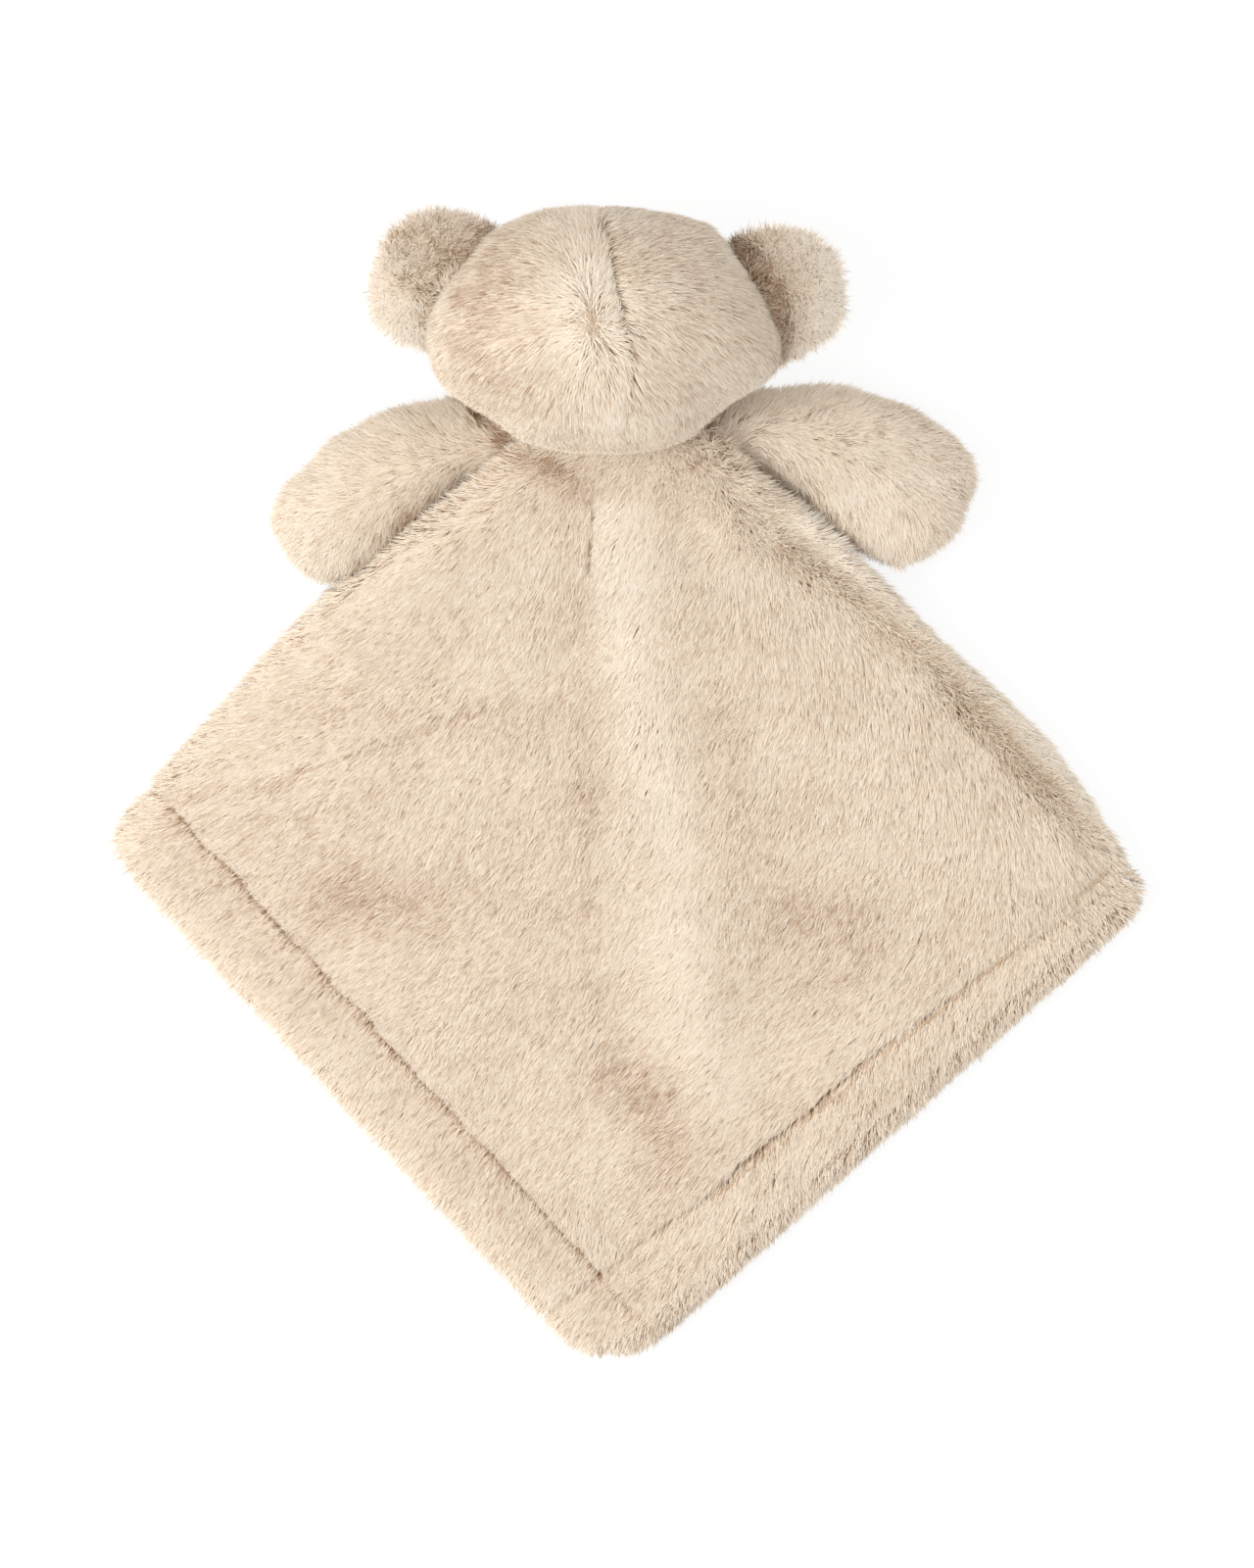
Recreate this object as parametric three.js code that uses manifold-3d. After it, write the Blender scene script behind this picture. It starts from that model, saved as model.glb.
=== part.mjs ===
// A baby's comforter: the stuffed head and two arms of a teddy bear, sewn to one corner of a
// square fur blanket. It lies face down on a table, so the back of the head and blanket are up.
//
// Millimetres. +X runs from the toy's left to its right, +Y from the blanket's far corner to the
// crown of the head, and +Z up from the table. The origin is on the table, under the middle.
// Every outer surface is the fur's, a little below the tips of the pile.

import * as THREE from "three";
import { mergeVertices } from "three/addons/utils/BufferGeometryUtils.js";
import Module from "manifold-3d";

const wasm = await Module();
wasm.setup();

// Cloth and seams
const FUR_WALL = 5; // backing cloth and pile of a stuffed part
const SEAM_GAP = 0.3; // between two pieces that touch
const FLOOR_FLAT = 0.5; // how deep a soft form is pressed flat by the table
const THREAD = 0.9; // diameter of a line of stitching

// Neck: the blanket's gathered top edge is a roll, and the head turns about its middle
const NECK_Y = 97;
const NECK_LIFT = 17; // the blanket's underside at the neck, held up by the arms' roots
const NECK_LEFT = -24;
const NECK_RIGHT = 22;
const NECK_BITE = 1; // how far the head's form is pressed into the roll
const NECK_CUT_SPARE = 20; // how far the roll's cut in the head runs past each end of the neck
const NOD_FORWARD = 15; // degrees

// Blanket: two layers of fur cloth, with a wide hem on its two far sides
const CLOTH_THICK = 12.6; // both layers
const LEFT_CORNER = new THREE.Vector2(-147.6, -16.6);
const FAR_CORNER = new THREE.Vector2(-5, -169.2);
const RIGHT_CORNER = new THREE.Vector2(148, -31.4);
const TOP_CORNER = new THREE.Vector2(-2.6, 147); // where the two near sides would meet
const RIGHT_BULGE = 5; // how far the right near side bows out
const LEFT_BEND_AT = 138; // from the top corner to where the near side leaves its straight line
const RIGHT_BEND_AT = 141;
const LEFT_BEND_AIM = 104; // from the top corner to the point that its curve heads for
const RIGHT_BEND_AIM = 100;
const SHOULDER_LEFT = new THREE.Vector2(-7, -17); // the way that each near side leaves the neck
const SHOULDER_RIGHT = new THREE.Vector2(5, -17);
const LIFT_FROM_Y = 36; // the cloth lies on the table up to here, and then rises to the neck
const LIFT_SHORT = 8; // how far before the neck it is at its full height
const HEM_LEFT = 22; // widths of the hem band
const HEM_FAR = 20;
const HEM_RIGHT = 12.5;
const HEM_EXTRA = 0.6; // how much thicker than the two layers the folded hem is
const HEM_END_THIN = 0.35; // share of its thickness that it has at its open ends
const CORNER_ROUND = 9;
const FAR_ROUND = 17;
const EDGE_ROUND = 6.3; // how far in from a free edge the cloth reaches its full thickness
const RIGHT_EDGE_ROUND = 11;
const SEAM_ROUND = 5;
const SEAM_DEPTH = 0.45; // how much of the half thickness a stitched line pulls in
const RIDGE_HEIGHT = 3.2;
const RIDGE_WIDTH = 11;
const LEAN_HEIGHT = 4; // the right side lies higher than the left
const LEAN_WIDTH = 22;
const GATHER_DEPTH = 2.6;
const GATHER_WIDTH = 4.4;
const STITCH_INSET = 6; // from each end of its seam to the end of the thread

// Head
const HEAD_WIDTH = 95.5;
const HEAD_HEIGHT = 68.5;
const HEAD_DEPTH = 76;
const HEAD_X = -6.7;
const MUZZLE_REACH = 8; // from the face to the tip of the muzzle, which rests on the table
const GUSSET_WIDTH = 20;

// Muzzle and features, all measured from the middle of the head
const MUZZLE_WIDTH = 40;
const MUZZLE_HEIGHT = 29;
const MUZZLE_DEPTH = 27;
const MUZZLE_DROP = 9;
const NOSE_WIDTH = 15;
const NOSE_HEIGHT = 10;
const NOSE_THICK = 3.6;
const NOSE_RISE = 0.62; // share of the way up from the middle of the muzzle
const EYE_SPACING = 34;
const EYE_RISE = 7;
const EYE_WIDTH = 6.4;
const EYE_HEIGHT = 7.6;
const EYE_THICK = 3.4;
const MOUTH_DROP = 7;
const MOUTH_WIDTH = 13;
const MOUTH_TOP = 0.18; // share of the way up from the middle of the muzzle
const MOUTH_DIP = 2.4; // how far each side of the mouth hangs below its middle
const MOUTH_CORNER_DIP = 1.5;

// Ears
const EAR_LENGTH = 38;
const EAR_THICK = 14;
const EAR_OUT = 3; // from its seam line to its middle
const EAR_FLAP = 25; // degrees each way
const EARS = [
  { name: "ear_left", width: 38, bearing: 164, facing: 154, lean: -8 },
  { name: "ear_right", width: 37.5, bearing: 11.5, facing: 18, lean: -5 },
];

// Arms: each spine runs from the root, under the neck, to the tip of the paw
const ARM_THICK = 24.6;
const ARM_ROOT_THICK = 14;
const ARM_ROOT_PRESS = 1.6; // how far the root's form is pressed up into the cloth
const ARM_END = 14; // length of the rounded paw
const ARM_SWELL_FROM = 0.2; // shares of its length between which it widens to the paw
const ARM_SWELL_TO = 0.66;
const ARM_RAISE = 25; // degrees
const ARM_LOWER = 4;
const ARMS = [
  {
    name: "arm_left",
    spine: [[-13, 98], [-40, 99.5], [-58, 95], [-73, 85.5], [-92, 63.4]],
    rootWidth: 25,
    pawWidth: 35,
    pivot: [-31, 96],
    raise: -1, // the way that the arm turns about +Z as it is raised
    seamTilt: 50,
  },
  {
    name: "arm_right",
    spine: [[7, 98], [32, 100], [50, 98.5], [67, 91], [93.4, 73.4]],
    rootWidth: 26,
    pawWidth: 39,
    pivot: [25, 96],
    raise: 1,
    seamTilt: -38,
  },
];

// Fineness of the faceted forms
const HEAD_STEPS = [24, 14];
const MUZZLE_STEPS = [18, 10];
const EAR_STEPS = [16, 8];
const PAD_STEPS = [10, 6];
const LIMB_STEPS = [12, 10];
const SEAM_STATIONS = 8;
const HEM_STEPS = 11;
const NECK_SIDES = 24;

// Sizes that follow from the ones above
const NECK_ROLL = CLOTH_THICK / 2;
const NECK_Z = NECK_LIFT + NECK_ROLL;
const HEAD_RADII = new THREE.Vector3(HEAD_WIDTH / 2, HEAD_HEIGHT / 2, HEAD_DEPTH / 2);
const HEAD_Z = MUZZLE_REACH + HEAD_RADII.z;
const HEAD_CENTRE = new THREE.Vector3(
  HEAD_X,
  NECK_Y + NECK_ROLL - NECK_BITE + headHalfHeightAt(NECK_Z),
  HEAD_Z,
);
const ARM_ROOT_RISE = NECK_LIFT + ARM_ROOT_PRESS - ARM_ROOT_THICK / 2;
const FAR = 600; // longer than the whole toy

// Half the head's height, along Y, at a level above the table
function headHalfHeightAt(level) {
  const share = (HEAD_Z - level) / HEAD_RADII.z;
  return HEAD_RADII.y * Math.sqrt(Math.max(0.05, 1 - share * share));
}

function smooth(from, to, value) {
  return THREE.MathUtils.smoothstep(value, from, to);
}

function radians(degrees) {
  return THREE.MathUtils.degToRad(degrees);
}

// Solids

function solidOf(geometry) {
  const bare = new THREE.BufferGeometry();
  bare.setAttribute("position", geometry.getAttribute("position").clone());
  if (geometry.index) bare.setIndex(geometry.index.clone());
  const merged = mergeVertices(bare, 1e-4);
  return new wasm.Manifold(
    new wasm.Mesh({
      numProp: 3,
      vertProperties: new Float32Array(merged.attributes.position.array),
      triVerts: new Uint32Array(merged.index.array),
    }),
  );
}

function geometryOf(solid) {
  const mesh = solid.getMesh();
  const geometry = new THREE.BufferGeometry();
  geometry.setAttribute("position", new THREE.BufferAttribute(mesh.vertProperties, 3));
  geometry.setIndex(new THREE.BufferAttribute(mesh.triVerts, 1));
  const faceted = geometry.toNonIndexed();
  faceted.computeVertexNormals();
  return faceted;
}

// A block with one corner at low and the other at high
function block(low, high) {
  const size = new THREE.Vector3().subVectors(high, low);
  const middle = new THREE.Vector3().addVectors(low, high).multiplyScalar(0.5);
  const geometry = new THREE.BoxGeometry(size.x, size.y, size.z);
  return solidOf(geometry.translate(middle.x, middle.y, middle.z));
}

// All of space on one side of a plane through a point
function sideOf(point, normal) {
  const geometry = new THREE.BoxGeometry(FAR, FAR, FAR).translate(0, 0, FAR / 2);
  const turn = new THREE.Quaternion().setFromUnitVectors(new THREE.Vector3(0, 0, 1), normal);
  geometry.applyQuaternion(turn).translate(point.x, point.y, point.z);
  return solidOf(geometry);
}

function ball(centre, radii, steps, turn = new THREE.Quaternion()) {
  const geometry = new THREE.SphereGeometry(1, steps[0], steps[1]).rotateX(Math.PI / 2);
  geometry.scale(radii.x, radii.y, radii.z).applyQuaternion(turn);
  return solidOf(geometry.translate(centre.x, centre.y, centre.z));
}

// A closed skin over rings of points, each ring in the same order. Up to ring number mirrored the
// four-sided faces are split along their other diagonal.
function skinned(rings, mirrored = 0, capFirst = rings[0], capLast = rings.at(-1)) {
  const points = rings.flat();
  const around = rings[0].length;
  const faces = [];
  for (let i = 0; i + 1 < rings.length; i++) {
    for (let j = 0; j < around; j++) {
      const a = i * around + j;
      const b = i * around + ((j + 1) % around);
      if (i < mirrored) faces.push(a, b, a + around, b, b + around, a + around);
      else faces.push(a, b, b + around, a, b + around, a + around);
    }
  }
  const last = points.length - around;
  const first = points.push(middleOf(capFirst)) - 1;
  const end = points.push(middleOf(capLast)) - 1;
  for (let j = 0; j < around; j++) {
    const next = (j + 1) % around;
    faces.push(first, next, j, end, last + j, last + next);
  }
  const geometry = new THREE.BufferGeometry().setFromPoints(points);
  geometry.setIndex(faces);
  const solid = solidOf(geometry);
  return solid.volume() > 0 ? solid : solidOf(turnedInsideOut(geometry));
}

function turnedInsideOut(geometry) {
  const faces = geometry.index.array;
  for (let i = 0; i < faces.length; i += 3) {
    [faces[i + 1], faces[i + 2]] = [faces[i + 2], faces[i + 1]];
  }
  return geometry;
}

function middleOf(points) {
  const sum = new THREE.Vector3();
  points.forEach((point) => sum.add(point));
  return sum.divideScalar(points.length);
}

// solid turned about a line through pivot, in degrees
function turned(solid, pivot, axis, degrees) {
  const to = new THREE.Matrix4().makeTranslation(pivot.x, pivot.y, pivot.z);
  const turn = new THREE.Matrix4().makeRotationAxis(axis, radians(degrees));
  const back = new THREE.Matrix4().makeTranslation(-pivot.x, -pivot.y, -pivot.z);
  return solid.transform(to.multiply(turn).multiply(back).elements);
}

// What is left of a piece that swings past an obstacle, so that it clears it at every angle
function clearOf(piece, obstacle, pivot, axis, degrees) {
  return degrees.reduce((left, angle) => left.subtract(turned(obstacle, pivot, axis, -angle)), piece);
}

// The largest body, where a cut has left a sliver beside it
function mainBody(solid) {
  return solid.decompose().reduce((most, body) => (body.volume() > most.volume() ? body : most));
}

const aboveTable = block(new THREE.Vector3(-FAR, -FAR, 0), new THREE.Vector3(FAR, FAR, FAR));

// Blanket

// The point on a side of the blanket at a distance from one of its corners
function along(from, to, distance) {
  return to.clone().sub(from).setLength(distance).add(from);
}

// A curve that bows out by height to the right of the way from one point to another
function bowed(from, to, height) {
  const way = to.clone().sub(from).normalize();
  const right = new THREE.Vector2(way.y, -way.x).multiplyScalar(2 * height);
  const middle = from.clone().lerp(to, 0.5).add(right);
  return new THREE.QuadraticBezierCurve(from, middle, to);
}

// The stitched lines run from these points on the near sides to one near the far corner
const HEM_START_LEFT = along(LEFT_CORNER, TOP_CORNER, HEM_LEFT);
const HEM_START_RIGHT = along(RIGHT_CORNER, TOP_CORNER, HEM_RIGHT);
const HEM_CORNER = FAR_CORNER.clone().add(new THREE.Vector2(1.6, HEM_FAR * Math.SQRT2));

// The near sides curve in to the neck, and leave their straight lines at these points
const LEFT_BEND = along(TOP_CORNER, LEFT_CORNER, LEFT_BEND_AT);
const RIGHT_BEND = along(TOP_CORNER, RIGHT_CORNER, RIGHT_BEND_AT);
const NECK_EDGE_Y = NECK_Y + NECK_ROLL;

// How high the cloth's underside is off the table: it rises to the neck over the arms' roots
function clothBottom(x, y) {
  return NECK_LIFT * smooth(LIFT_FROM_Y, NECK_Y - LIFT_SHORT, y);
}

// Height of a soft ridge along a line from a to b, fading out at both ends
function ridge(x, y, a, b, width, height) {
  const line = b.clone().sub(a);
  const at = new THREE.Vector2(x, y).sub(a);
  const share = at.dot(line) / line.lengthSq();
  const off = Math.abs(at.cross(line)) / line.length() / width;
  return height * Math.exp(-off * off) * smooth(-0.15, 0.1, share) * (1 - smooth(0.9, 1.2, share));
}

const RIDGE_FROM = new THREE.Vector2(1, 80);
const RIDGE_TO = new THREE.Vector2(24, -90);
const LEAN_FROM = new THREE.Vector2(52, 62);
const LEAN_TO = new THREE.Vector2(128, -20);
const GATHER_FROM = new THREE.Vector2(-7, 86);
const GATHER_TO = new THREE.Vector2(-12, 60);

// Thickness of both layers before the edges round it off
function clothThickness(x, y) {
  return (
    CLOTH_THICK +
    ridge(x, y, RIDGE_FROM, RIDGE_TO, RIDGE_WIDTH, RIDGE_HEIGHT) * (1 - smooth(66, 92, y)) +
    ridge(x, y, LEAN_FROM, LEAN_TO, LEAN_WIDTH, LEAN_HEIGHT) * (1 - smooth(56, 84, y)) -
    ridge(x, y, GATHER_FROM, GATHER_TO, GATHER_WIDTH, GATHER_DEPTH) * (1 - smooth(72, 90, y))
  );
}

// How full the cloth is at a distance in from an edge: drop is the share that the edge pulls in
function fullness(inward, run, drop) {
  const short = 1 - Math.min(1, Math.max(0, inward) / run);
  return 1 - drop * (1 - Math.sqrt(Math.max(0, 1 - short * short)));
}

// The main panels' outline, from the neck round by the left, with how each stretch is finished
function panelOutline() {
  const free = { run: EDGE_ROUND, drop: 0.94 };
  const rightFree = { run: RIGHT_EDGE_ROUND, drop: 0.94 };
  const stitched = { run: SEAM_ROUND, drop: SEAM_DEPTH };
  const neck = new THREE.Vector2(NECK_LEFT, NECK_EDGE_Y);
  const neckEnd = new THREE.Vector2(NECK_RIGHT, NECK_EDGE_Y);
  const leftCurve = new THREE.CubicBezierCurve(
    neck,
    neck.clone().add(SHOULDER_LEFT),
    along(TOP_CORNER, LEFT_CORNER, LEFT_BEND_AIM),
    LEFT_BEND,
  );
  const rightCurve = new THREE.CubicBezierCurve(
    RIGHT_BEND,
    along(TOP_CORNER, RIGHT_CORNER, RIGHT_BEND_AIM),
    neckEnd.clone().add(SHOULDER_RIGHT),
    neckEnd,
  );
  const stretches = [
    [leftCurve, free, 6],
    [new THREE.LineCurve(LEFT_BEND, HEM_START_LEFT), free, 4],
    [new THREE.LineCurve(HEM_START_LEFT, HEM_CORNER), stitched, SEAM_STATIONS],
    [new THREE.LineCurve(HEM_CORNER, HEM_START_RIGHT), stitched, SEAM_STATIONS],
    [bowed(HEM_START_RIGHT, RIGHT_BEND, RIGHT_BULGE), rightFree, 4],
    [rightCurve, free, 6],
    [new THREE.LineCurve(neckEnd, neck), free, 4],
  ];
  return stretches.flatMap(([curve, finish, steps]) =>
    curve.getPoints(steps).slice(0, -1).map((point, i) => ({
      point,
      finish,
      tangent: curve.getTangent(i / steps),
    })),
  );
}

const PANEL_MIDDLE = new THREE.Vector2(-2, -18);
const PANEL_OUTLINE = panelOutline();
const EDGE_RINGS = [0, 0.06, 0.3, 1]; // shares of the edge's run
const INNER_RINGS = [0.78, 0.54, 0.28]; // shares of the way out from the middle

// A point of the panel on a ring inside the outline, and how full the cloth is there
function panelPoint(edge, ring) {
  const out = edge.point.clone().sub(PANEL_MIDDLE);
  const reach = Math.abs(out.cross(edge.tangent));
  const isEdge = ring < EDGE_RINGS.length;
  const inward = isEdge
    ? EDGE_RINGS[ring] * edge.finish.run
    : reach - INNER_RINGS[ring - EDGE_RINGS.length] * (reach - edge.finish.run);
  const place = PANEL_MIDDLE.clone().addScaledVector(out, 1 - inward / reach);
  return { place, full: fullness(inward, edge.finish.run, edge.finish.drop) };
}

// One layer between two shares of the thickness, 0 at the underside and 1 on top. The middle of
// the cloth, where the layers meet, stays level as an edge rounds off.
function panel(from, to, grow = 0) {
  const rings = [...EDGE_RINGS, ...INNER_RINGS];
  const level = (share, x, y, full) => {
    const thick = clothThickness(x, y);
    const half = (share - 0.5) * thick * full;
    return clothBottom(x, y) + thick / 2 + half;
  };
  const face = (share, offset) =>
    rings.map((_, ring) =>
      PANEL_OUTLINE.map((edge) => {
        const { place, full } = panelPoint(edge, ring);
        const spot = place.clone().addScaledVector(place.clone().sub(PANEL_MIDDLE).normalize(), grow);
        return new THREE.Vector3(spot.x, spot.y, level(share, place.x, place.y, full) + offset);
      }),
    );
  const lower = face(from, from > 0 ? SEAM_GAP / 2 : -grow);
  const upper = face(to, to < 1 ? -SEAM_GAP / 2 : grow);
  return skinned([...lower.reverse(), ...upper], lower.length);
}

const blanketFront = panel(0, 0.5).intersect(aboveTable);
const blanketBack = panel(0.5, 1);
const blanketGrown = panel(0, 1, SEAM_GAP);

// A hem band is a folded strip of fur cloth. Each section runs round it from the stitched line.
function hemBand(innerFrom, innerTo, outerFrom, outerTo, roundFrom, roundTo) {
  const half = (CLOTH_THICK + HEM_EXTRA) / 2;
  const section = [
    [0, 1 - SEAM_DEPTH],
    [0.14, 0.9],
    [0.34, 1],
    [0.66, 1],
    [0.87, 0.74],
    [1, 0],
    [0.87, -0.74],
    [0.66, -1],
    [0.14, -1],
    [0, -(1 - SEAM_DEPTH)],
  ];
  const length = outerFrom.distanceTo(outerTo);
  const rings = [];
  for (let i = 0; i <= HEM_STEPS; i++) {
    const share = endwise(i / HEM_STEPS);
    const inner = innerFrom.clone().lerp(innerTo, share);
    const outer = outerFrom.clone().lerp(outerTo, share);
    const fromStart = cornerShare(share * length, roundFrom);
    const fromEnd = cornerShare((1 - share) * length, roundTo);
    const reach = Math.min(fromStart, fromEnd);
    const width = outer.clone().sub(inner);
    const gap = SEAM_GAP / width.length();
    const plump = THREE.MathUtils.lerp(HEM_END_THIN, 1, Math.min(1, (share * length) / EDGE_ROUND));
    rings.push(
      section.map(([out, up]) => {
        const place = inner.clone().addScaledVector(width, gap + out * (reach - gap));
        return new THREE.Vector3(place.x, place.y, half + up * half * plump);
      }),
    );
  }
  return skinned(rings).intersect(aboveTable);
}

// Steps that crowd towards both ends
function endwise(share) {
  return (1 - Math.cos(Math.PI * share)) / 2;
}

// How much of the band's width is left at a distance from a rounded corner
function cornerShare(distance, round) {
  const short = Math.max(0, 1 - distance / round);
  return 1 - 0.42 * (1 - Math.sqrt(1 - short * short)) * (round / FAR_ROUND);
}

// The mitre at the far corner keeps a gap between the two bands
const MITRE_SHIFT = new THREE.Vector2(SEAM_GAP / 2, 0);
const hemLeft = hemBand(
  HEM_START_LEFT,
  HEM_CORNER.clone().sub(MITRE_SHIFT),
  LEFT_CORNER,
  FAR_CORNER.clone().sub(MITRE_SHIFT),
  CORNER_ROUND,
  FAR_ROUND,
);
const hemRight = hemBand(
  HEM_START_RIGHT,
  HEM_CORNER.clone().add(MITRE_SHIFT),
  RIGHT_CORNER,
  FAR_CORNER.clone().add(MITRE_SHIFT),
  CORNER_ROUND,
  FAR_ROUND,
);

// A line of stitching that lies in the groove on top of the seam
function hemStitch(from, to) {
  const direction = to.clone().sub(from).normalize();
  const beside = fullness(THREAD / 2 + SEAM_GAP, SEAM_ROUND, SEAM_DEPTH);
  const points = Array.from({ length: SEAM_STATIONS + 1 }, (_, i) => {
    const share = i / SEAM_STATIONS;
    const at = from.clone().lerp(to, share);
    at.addScaledVector(direction, STITCH_INSET * (1 - 2 * share));
    const level = (clothThickness(at.x, at.y) / 2) * (1 + beside);
    return new THREE.Vector3(at.x, at.y, level + THREAD / 2 + SEAM_GAP);
  });
  const section = new THREE.Shape().absarc(0, 0, THREAD / 2, 0, 2 * Math.PI);
  const geometry = new THREE.ExtrudeGeometry(section, {
    steps: 16,
    curveSegments: 3,
    extrudePath: new THREE.CatmullRomCurve3(points),
  });
  return solidOf(geometry);
}

// Head

const headGrown = ball(HEAD_CENTRE, HEAD_RADII.clone().addScalar(SEAM_GAP), HEAD_STEPS);

// The neck roll as the head meets it
function neckCutter() {
  const geometry = new THREE.CylinderGeometry(
    NECK_ROLL + SEAM_GAP,
    NECK_ROLL + SEAM_GAP,
    NECK_RIGHT - NECK_LEFT + 2 * NECK_CUT_SPARE,
    NECK_SIDES,
  );
  geometry.rotateZ(Math.PI / 2).translate((NECK_LEFT + NECK_RIGHT) / 2, NECK_Y, NECK_Z);
  return solidOf(geometry);
}

// The head's form, drawn in from its surface by inset
function headForm(inset) {
  const form = ball(HEAD_CENTRE, HEAD_RADII.clone().subScalar(inset), HEAD_STEPS);
  return form.subtract(neckCutter());
}

function headSlab(axis, from, to) {
  const low = new THREE.Vector3(-FAR, -FAR, -FAR);
  const high = new THREE.Vector3(FAR, FAR, FAR);
  low[axis] = from;
  high[axis] = to;
  return block(low, high);
}

const MUZZLE_CENTRE = new THREE.Vector3(
  HEAD_X,
  HEAD_CENTRE.y - MUZZLE_DROP,
  MUZZLE_DEPTH / 2 - FLOOR_FLAT,
);
const MUZZLE_RADII = new THREE.Vector3(MUZZLE_WIDTH, MUZZLE_HEIGHT, MUZZLE_DEPTH).divideScalar(2);
const muzzleGrown = ball(MUZZLE_CENTRE, MUZZLE_RADII.clone().addScalar(SEAM_GAP), MUZZLE_STEPS);

function headPanels() {
  const shell = headForm(0).subtract(headForm(FUR_WALL));
  const half = SEAM_GAP / 2;
  const back = shell.intersect(headSlab("z", HEAD_Z + half, FAR));
  const face = shell.intersect(headSlab("z", -FAR, HEAD_Z - half));
  const gussetLow = MUZZLE_CENTRE.y;
  const gusset = face
    .intersect(headSlab("x", HEAD_X - GUSSET_WIDTH / 2 + half, HEAD_X + GUSSET_WIDTH / 2 - half))
    .intersect(headSlab("y", gussetLow + half, FAR));
  const gussetCut = block(
    new THREE.Vector3(HEAD_X - GUSSET_WIDTH / 2 - half, gussetLow - half, -FAR),
    new THREE.Vector3(HEAD_X + GUSSET_WIDTH / 2 + half, FAR, FAR),
  );
  const cheeks = face.subtract(gussetCut);
  return {
    head_back_left: back.intersect(headSlab("x", -FAR, HEAD_X - half)),
    head_back_right: back.intersect(headSlab("x", HEAD_X + half, FAR)),
    head_gusset: gusset,
    face_left: cheeks.intersect(headSlab("x", -FAR, HEAD_X - half)),
    face_right: cheeks.intersect(headSlab("x", HEAD_X + half, FAR)),
    head_filling: headForm(FUR_WALL + SEAM_GAP),
  };
}

// A point on the lower side of an ellipsoid, and its normal there
function underside(centre, radii, x, y) {
  const across = x / radii.x;
  const up = y / radii.y;
  const z = -radii.z * Math.sqrt(1 - across * across - up * up);
  const normal = new THREE.Vector3(x / radii.x ** 2, y / radii.y ** 2, z / radii.z ** 2);
  return { point: new THREE.Vector3(x, y, z).add(centre), normal: normal.normalize() };
}

// A pad of satin stitch on a surface
function stitchedPad(seat, width, height, thick, ground) {
  const turn = new THREE.Quaternion().setFromUnitVectors(new THREE.Vector3(0, 0, -1), seat.normal);
  const radii = new THREE.Vector3(width / 2, height / 2, thick / 2);
  return ball(seat.point, radii, PAD_STEPS, turn).subtract(ground);
}

function faceFeatures() {
  const muzzleWhole = ball(MUZZLE_CENTRE, MUZZLE_RADII, MUZZLE_STEPS);
  const noseSeat = underside(MUZZLE_CENTRE, MUZZLE_RADII, 0, MUZZLE_RADII.y * NOSE_RISE);
  const nose = stitchedPad(noseSeat, NOSE_WIDTH, NOSE_HEIGHT, NOSE_THICK, muzzleGrown);
  const eye = (side) =>
    stitchedPad(
      underside(HEAD_CENTRE, HEAD_RADII, (side * EYE_SPACING) / 2, EYE_RISE),
      EYE_WIDTH,
      EYE_HEIGHT,
      EYE_THICK,
      headGrown,
    );
  const mouth = mouthStitch(THREAD / 2);
  const muzzle = muzzleWhole
    .subtract(headGrown)
    .subtract(mouthStitch(THREAD / 2 + SEAM_GAP))
    .intersect(aboveTable);
  return {
    muzzle: mainBody(muzzle),
    nose: mainBody(nose.intersect(aboveTable)),
    mouth_stitch: mouth.intersect(aboveTable),
    eye_left: eye(-1),
    eye_right: eye(1),
  };
}

// The mouth: a short line of thread down from the nose, and a curve across under it
function mouthStitch(radius) {
  const at = (x, y) => {
    const seat = underside(MUZZLE_CENTRE, MUZZLE_RADII, x, y);
    seat.point.z = Math.max(seat.point.z, THREAD / 2);
    return seat.point;
  };
  const top = MUZZLE_RADII.y * MOUTH_TOP;
  const low = top - MOUTH_DROP;
  const down = new THREE.LineCurve3(at(0, top), at(0, low));
  const across = new THREE.CatmullRomCurve3([
    at(-MOUTH_WIDTH / 2, low - MOUTH_CORNER_DIP),
    at(-MOUTH_WIDTH / 4, low - MOUTH_DIP),
    at(0, low),
    at(MOUTH_WIDTH / 4, low - MOUTH_DIP),
    at(MOUTH_WIDTH / 2, low - MOUTH_CORNER_DIP),
  ]);
  const run = (path, steps) => {
    const section = new THREE.Shape().absarc(0, 0, radius, 0, 2 * Math.PI);
    return solidOf(
      new THREE.ExtrudeGeometry(section, { steps, curveSegments: 3, extrudePath: path }),
    );
  };
  return run(down, 4).add(run(across, 12));
}

// Ears

// The line that an ear is sewn along, and the way that the ear points. In its bearing from the
// middle of the head, it starts at the head's surface.
function earFrame({ bearing, facing, lean }) {
  const from = new THREE.Vector3(Math.cos(radians(bearing)), Math.sin(radians(bearing)), 0);
  const reach = 1 / Math.hypot(from.x / HEAD_RADII.x, from.y / HEAD_RADII.y);
  const pivot = HEAD_CENTRE.clone().addScaledVector(from, reach);
  const out = new THREE.Vector3(Math.cos(radians(facing)), Math.sin(radians(facing)), 0);
  const seam = new THREE.Vector3(-out.y, out.x, 0);
  const tilt = new THREE.Quaternion().setFromAxisAngle(seam, radians(lean));
  const basis = new THREE.Matrix4().makeBasis(out, seam, new THREE.Vector3(0, 0, 1));
  const turn = tilt.multiply(new THREE.Quaternion().setFromRotationMatrix(basis));
  return { pivot, seam, turn, way: new THREE.Vector3(1, 0, 0).applyQuaternion(turn) };
}

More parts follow.
